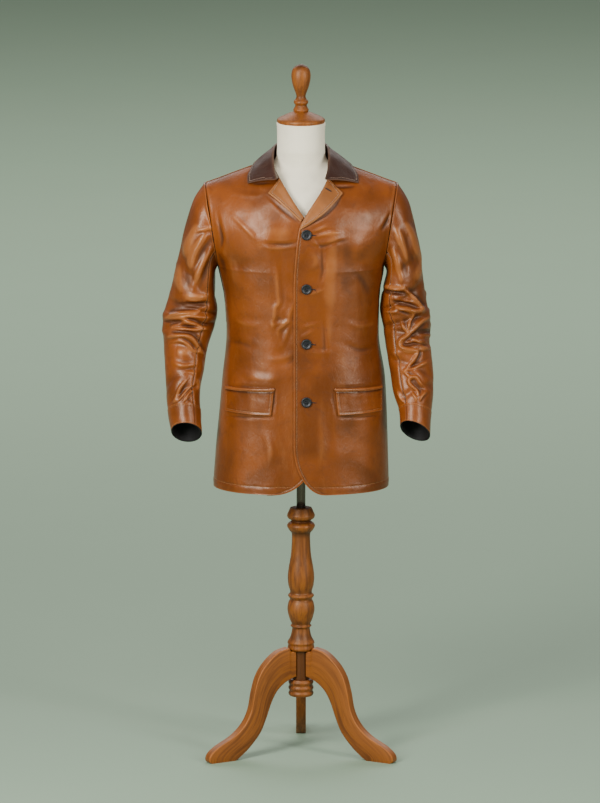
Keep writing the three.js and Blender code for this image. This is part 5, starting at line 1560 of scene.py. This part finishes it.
class JACKET_OT_collar(Operator):
    """The turn-down collar, rubbed pale along its edge, and its stitching"""
    bl_idname = "jacket.collar"
    bl_label = "Collar"

    def execute(self, context):
        sections = np.array([collar_section(-1 if k < 0 else 1, abs(k) / 12)
                             for k in range(-12, 13)])
        length, height = 145, 49
        grid = through(sections, length)
        grid = np.swapaxes(through(np.swapaxes(grid, 0, 1), height), 0, 1)
        normals = -grid_normals(grid)
        normals = normals * np.sign(normals[length // 2, 44, 1])
        from_foot, from_end = travelled(grid, 1), travelled(grid, 0)
        gap_edge = from_foot[:, -1:] - from_foot
        gap_end = np.minimum(from_end, from_end[-1:] - from_end)
        fallen = ease((np.linspace(0, 1, height) - 0.42) / 0.08)[None]
        gap = np.where(fallen > 0.3, np.minimum(gap_edge, gap_end), gap_end)
        relief = stitch_channel(gap - SMALL_STITCH, 0.4, 1.2) * fallen \
            + 0.35 * bell((gap - 2) / 2) \
            + 0.45 * noise(grid, 1 / 45, 61, 2) * fallen * ease(gap_edge / 12)
        outer = grid + normals * relief[..., None]
        points, faces, source, _ = shell(outer, grid - normals * COLLAR_WALL)
        # pale along the edges and the fold, where worn; painted shade along the stitching
        fold = 0.8 * bell((from_foot - from_foot[:, 16:17]) / 4)
        ends = np.maximum(0.8 * bell(gap / 2), fold) - 0.4 * bell((gap - SMALL_STITCH) / 1.4)
        collar = make_piece("collar_leather", points, faces, "collar", "collar",
                            wear_and_painted_light(source, relief / 3, ends))
        # stitches inside the free edge, then inside both ends of the fall
        line = []
        for i in range(length):
            k = int(np.nonzero(gap_edge[i] > SMALL_STITCH)[0][-1])
            if gap_end[i, k] > SMALL_STITCH:
                line.append((*at_level(gap_edge[i], SMALL_STITCH, k, outer[i]), normals[i, k]))
        rows = [seam_row(line)]
        for step in (1, -1):
            found = [(int(np.argmax(gap_end[::step, j] > SMALL_STITCH)), j) for j in range(26, 47)]
            cells = [(i if step > 0 else length - 1 - i, j) for i, j in found]
            rows.append(seam_row([(outer[c], normals[c]) for c in cells
                                  if gap_edge[c] > SMALL_STITCH]))
        sewn = stitches("collar_stitching", rows, "thread_pale", 3.0, 0.3)
        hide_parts("collar")
        return {"FINISHED"}


# ------------------------------------------------------------------ buttons
class JACKET_OT_buttons(Operator):
    """Four round buttons, their thread and their buttonholes"""
    bl_idname = "jacket.buttons"
    bl_label = "Buttons"

    def execute(self, context):
        r = np.concatenate([np.linspace(0.15, 5.6, 19), np.linspace(6.0, 12.5, 17)])
        turn = np.arange(64) * 2 * math.pi / 64
        hole = 2.1  # from the middle, across and up
        rim = np.interp(r, [0, 6.6, 8.0, 9.4, 10.8, 11.8, 12.3, 12.5],
                        [3.0, 2.7, 3.3, 4.2, 4.4, 4.0, 3.2, 2.4])
        radius, angle = np.meshgrid(r, turn, indexing="ij")
        x, y = radius * np.cos(angle), radius * np.sin(angle)
        top = np.repeat(rim[:, None], 64, 1)
        for hx, hy in ((1, 1), (-1, 1), (1, -1), (-1, -1)):
            off = np.hypot(x - hx * hole, y - hy * hole)
            top = top - 1.6 * ease((1.25 - off) / 0.5 + 0.5)
        for number, height in enumerate(BUTTON_HEIGHTS, 1):
            (seat,), (normal,) = on_body("front", 1, np.array([BUTTON_X]), np.array([height]))
            side = unit(np.cross([0, 0, 1], normal))
            up = np.cross(normal, side)
            spin = math.radians((12, -20, 35, 5)[number - 1])
            east = side * math.cos(spin) + up * math.sin(spin)
            north = -side * math.sin(spin) + up * math.cos(spin)

            def at(px, py, pz):
                return seat + px[..., None] * east + py[..., None] * north \
                    + (pz + 0.8)[..., None] * normal

            face = at(x, y, top)
            under = at(x * 0.97, y * 0.97, np.interp(radius, [0, 11, 12.5], [0.2, 0.9, 1.8]))
            points, faces, *_ = shell(face, under, ring=True, rim=3, bulge=0.35)
            button = make_piece(f"button_{number}_horn", points, faces, "button",
                                "button")
            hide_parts(f"button_{number}")
            way = np.linspace(-1, 1, 9)
            rows = [(at(hole * way, hole * way * slope, 2.1 + 1.1 * np.cos(math.pi / 2 * way)),
                     np.repeat(normal[None], 9, 0)) for slope in (1, -1)]
            stitches(f"button_{number}_thread", rows, "thread_black", 6.0, 0.5)
            buttonhole(f"buttonhole_{number}", 1, (BUTTON_X + 1, height - 0.5),
                       (BUTTON_X + 21, height - 1.5), 0.25)
            self.tail(number, height)
        return {"FINISHED"}

    @staticmethod
    def tail(number, height):
        """Loose thread ends past the buttonhole: thin tapering hairs."""
        rng = np.random.default_rng(70 + number)
        rows = []
        for k in range(3):
            t = np.linspace(0, 1, 8)
            reach = rng.uniform(3, 6)
            lean = rng.uniform(-0.9, 0.9)
            x = BUTTON_X + 19 + reach * t
            z = height - 1.5 + lean * reach * t ** 1.5 + k - 1
            line, normal = on_body("front", 1, x, z, 0.5 + 0.6 * np.sin(math.pi * t))
            rows.append((line, normal))
        stitches(f"buttonhole_{number}_tail", rows, "thread_black", 2.2, 0.26)


# ------------------------------------------------------------------ dress form and stand
class JACKET_OT_dress_form(Operator):
    """The limbless form, covered in pale cloth"""
    bl_idname = "jacket.dress_form"
    bl_label = "Dress form"

    def execute(self, context):
        z = np.concatenate([[752, 753, 755, 758], np.linspace(762, 1535, 130),
                            [1537, 1538, 1538.5]])[:, None]
        half, front, back, square = (along(FORM[:, 0], FORM[:, k], z) for k in (1, 2, 3, 4))
        angle = np.arange(112) * 2 * math.pi / 112
        c, s = np.cos(angle)[None], np.sin(angle)[None]
        x = half * np.sign(c) * np.abs(c) ** (2 / square)
        y = np.where(s < 0, front, back) * np.sign(s) * np.abs(s) ** (2 / square)
        y = y + 4 * ease((z - 1396) / 14) * ease((1474 - z) / 14)
        grid = np.stack([x, y, z + 0 * x], -1)
        seam = 0.5 * bell(x / 1.1)
        points, faces = capped(grid - unit(grid * (1, 1, 0)) * seam[..., None])
        form = make_piece("form_body", points, faces, "canvas", "canvas")
        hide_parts("form")
        return {"FINISHED"}


def groove_shade(points, profile):
    """Painted shade in a turned piece's grooves: how far its radius is under the largest nearby."""
    rows = np.array(profile, float)
    radius = np.hypot(points[:, 0], points[:, 1])
    around = np.stack([np.interp(points[:, 2] + d, rows[:, 0], rows[:, 1])
                       for d in (-11, -8, -5, 5, 8, 11)]).max(0)
    return np.clip((around - radius - 1.5) / 7, 0, 1)


class JACKET_OT_stand(Operator):
    """Neck cap, finial, pole, turned column and the three curved legs"""
    bl_idname = "jacket.stand"
    bl_label = "Stand"

    def execute(self, context):
        column = np.concatenate([finer(COLUMN[:8], 5), COLUMN[8:10], finer(COLUMN[10:], 5)])
        pole = [(601.3, 10.4), (601.7, 10.8), (751.3, 10.8), (751.7, 10.4)]
        for name, node, rows, sides, finish, dark in (
                ("neck_cap_wood", "neck_cap", finer(CAP, 6), 96, "wood", None),
                ("finial_wood", "finial", finer(FINIAL, 6), 72, "wood", FINIAL),
                ("column_wood", "column", column, 72, "wood", COLUMN),
                ("pole_tube", "pole", pole, 64, "steel", None)):
            points, faces = lathe(rows, sides)
            groove = np.zeros(len(points)) if dark is None else groove_shade(points, dark)
            piece = make_piece(name, points, faces, finish, finish,
                               {"groove": groove}, sharp=50)
            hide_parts(node)
        for name, direction in LEG_DIRECTIONS.items():
            points, faces, held = self.leg(direction)
            leg = make_piece(f"leg_{name}_wood", points, faces, "board", "wood",
                             held, sharp=42)
            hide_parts(f"leg_{name}")
        return {"FINISHED"}

    @staticmethod
    def leg(direction):
        """A leg board: between its upper and lower edge lines a rectangle with rounded
        corners is carried from the column to the toe."""
        def path(start, rows):
            line = np.concatenate([np.array(start, float), through(np.array(rows, float), 120)])
            step = np.concatenate([[0], np.cumsum(np.linalg.norm(np.diff(line, axis=0), axis=1))])
            at = np.linspace(0, step[-1], 110)
            line = np.stack([np.interp(at, step, line[:, k]) for k in (0, 1)], 1)
            return np.maximum(line, (-np.inf, 0))

        top = path([(20.3, 251), (33.5, 251)], LEG_TOP)
        low = path([(20.3, 187)], LEG_BOTTOM)
        middle, half = (top + low) / 2, (top - low) / 2
        tall, board = np.linalg.norm(half, axis=1)[:, None], LEG_BOARD / 2
        corner = np.minimum(3.0, tall * 0.4)
        u, v = [], []
        for quarter, su, sv in ((0, 1, 1), (1, -1, 1), (2, -1, -1), (3, 1, -1)):
            angle = (np.linspace(0, 1, 6) + quarter)[None] * math.pi / 2
            u.append(su * (tall - corner) + corner * np.cos(angle))
            v.append(sv * (board - corner) + corner * np.sin(angle))
        u, v = np.concatenate(u, 1), np.concatenate(v, 1)
        r, z = (middle[:, k:k + 1] + half[:, k:k + 1] / tall * u for k in (0, 1))
        turn = math.radians(direction)
        grid = np.stack([r * math.cos(turn) - v * math.sin(turn),
                         r * math.sin(turn) + v * math.cos(turn), np.maximum(z, 0)], -1)
        down = travelled(np.repeat(middle[:, None], u.shape[1], 1), 0)
        # painted light near the board's faces: painted shade along its lower edge, a painted
        # highlight along its upper edge
        side = bell((board - np.abs(v)) / 2.2)
        groove = (0.5 * bell((tall + u) / 2.2) - bell((tall - u) / 2.2)) * side
        held = {"across": u / 1000 + direction, "through": v / 1000, "along": down / 1000,
                "groove": groove}
        held = {key: np.append(value.ravel(), [value[0].mean(), value[-1].mean()])
                for key, value in held.items()}
        return (*capped(grid), held)


# ------------------------------------------------------------------ studio
class JACKET_OT_studio(Operator):
    """Pale floor, soft lights and the camera"""
    bl_idname = "jacket.studio"
    bl_label = "Studio"

    def execute(self, context):
        room = context.scene.jacket_studio
        mesh = bpy.data.meshes.new("studio_floor")
        half = 30.0
        mesh.from_pydata([(-half, -half, 0), (half, -half, 0), (half, half, 0), (-half, half, 0)],
                         [], [(0, 1, 2, 3)])
        mesh.materials.append(finish_of("floor"))
        floor = bpy.data.objects.new("studio_floor", mesh)
        context.scene.collection.objects.link(floor)
        world = bpy.data.worlds.new("studio_air")
        world.use_nodes = True
        air = world.node_tree.nodes["Background"].inputs
        air[0].default_value = (0.93, 0.94, 0.95, 1)
        air[1].default_value = room.air
        context.scene.world = world
        chest = (0, -0.06, 1.05)
        for name, place, size, share, aim in (
                ("left_window", (-1.75, -2.5, 2.1), (0.8, 1.9), 1.35, chest),
                ("right_window", (2.2, -2.2, 1.9), (0.6, 1.9), 0.7, chest),
                ("over_camera", (-0.5, -2.2, 3.6), (1.4, 0.7), 0.35, chest),
                ("backdrop", (0, 6.5, 5.0), (9.0, 6.0), 5.4, (0, 6.4, 0))):
            self.lamp(name, place, size, room.light * share, aim)
        tilt = math.radians(room.elevation)
        aim = np.array([SHIFT[0] - room.pixel, SHIFT[1], 0.861])
        back = np.array([0, -math.cos(tilt), math.sin(tilt)])
        camera = bpy.data.objects.new("camera", bpy.data.cameras.new("camera"))
        camera.location = aim + back * room.distance
        camera.rotation_euler = (math.pi / 2 - tilt, 0, 0)
        camera.data.lens = 36 * room.distance / (PICTURE_HEIGHT * room.pixel)
        camera.data.clip_end = 100
        context.scene.collection.objects.link(camera)
        context.scene.camera = camera
        return {"FINISHED"}

    @staticmethod
    def lamp(name, place, size, power, aim):
        light = bpy.data.lights.new(name, "AREA")
        light.shape = "RECTANGLE"
        light.size, light.size_y = size
        light.energy = power
        lamp = bpy.data.objects.new(name, light)
        lamp.location = place
        ahead = np.array(aim) - np.array(place)
        yaw = math.atan2(ahead[0], -ahead[1])
        pitch = math.atan2(math.hypot(ahead[0], ahead[1]), -ahead[2])
        lamp.rotation_euler = (pitch, 0, math.pi + yaw)
        bpy.context.scene.collection.objects.link(lamp)


# ------------------------------------------------------------------ settings
class JacketLeather(PropertyGroup):
    """Colours and gloss of the jacket"""
    leather: FloatVectorProperty(name="Leather", description="Colour of the panels",
                                 subtype="COLOR", default=linear(120, 59, 15))
    facing: FloatVectorProperty(name="Facing", description="Colour of the lapel facings",
                                subtype="COLOR", default=linear(146, 86, 38))
    collar: FloatVectorProperty(name="Collar", description="Colour of the collar",
                                subtype="COLOR", default=linear(54, 23, 13))
    gloss: FloatProperty(name="Roughness", description="Roughness of the waxed leather",
                         subtype="FACTOR", min=0.05, max=1, default=0.37)


class JacketStand(PropertyGroup):
    """Colours of the dress form and its stand"""
    canvas: FloatVectorProperty(name="Cover", description="Colour of the form's cover",
                                subtype="COLOR", default=linear(246, 236, 208))
    wood: FloatVectorProperty(name="Wood", description="Colour of the turned wood",
                              subtype="COLOR", default=linear(135, 76, 26))


class JacketStudio(PropertyGroup):
    """Camera and lights"""
    elevation: FloatProperty(name="Elevation", description="Camera's height above level, "
                             "in degrees", default=11.0)
    distance: FloatProperty(name="Distance", description="From the camera to the jacket",
                            subtype="DISTANCE", unit="LENGTH", default=20.0)
    pixel: FloatProperty(name="Pixel", description="Size of one picture dot at the jacket",
                         precision=4, default=0.0024)
    light: FloatProperty(name="Light", description="Power of the larger lamp", subtype="POWER",
                         unit="POWER", default=95.0)
    air: FloatProperty(name="Air", description="Strength of the light from all round",
                       default=0.22)


class JACKET_PT_panel(Panel):
    """Lists the settings and the steps"""
    bl_label = "Leather Jacket"
    bl_idname = "JACKET_PT_panel"
    bl_space_type = "VIEW_3D"
    bl_region_type = "UI"
    bl_category = "Jacket"

    def draw(self, context):
        for group in ("jacket_leather", "jacket_stand", "jacket_studio"):
            holder = getattr(context.scene, group)
            box = self.layout.box()
            for key in holder.__annotations__:
                box.prop(holder, key)
        for step in STEPS:
            self.layout.operator(step.bl_idname)


STEPS = (JACKET_OT_studio, JACKET_OT_dress_form, JACKET_OT_stand, JACKET_OT_fronts,
         JACKET_OT_back, JACKET_OT_sleeves, JACKET_OT_cuffs, JACKET_OT_lapels,
         JACKET_OT_pockets, JACKET_OT_collar, JACKET_OT_buttons)
GROUPS = {"jacket_leather": JacketLeather, "jacket_stand": JacketStand,
          "jacket_studio": JacketStudio}


def register():
    for cls in (*GROUPS.values(), *STEPS, JACKET_PT_panel):
        bpy.utils.register_class(cls)
    for name, cls in GROUPS.items():
        setattr(bpy.types.Scene, name, PointerProperty(type=cls))


def unregister():
    for name in GROUPS:
        delattr(bpy.types.Scene, name)
    for cls in reversed((*GROUPS.values(), *STEPS, JACKET_PT_panel)):
        bpy.utils.unregister_class(cls)


def main():
    """Builds every piece in order."""
    register()
    low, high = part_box("pole")
    SHIFT[:2] = (low[0] + high[0]) / 2, (low[1] + high[1]) / 2
    for step in STEPS:
        family, name = step.bl_idname.split(".")
        getattr(getattr(bpy.ops, family), name)()
    bpy.context.view_layer.update()


if __name__ == "__main__":
    main()
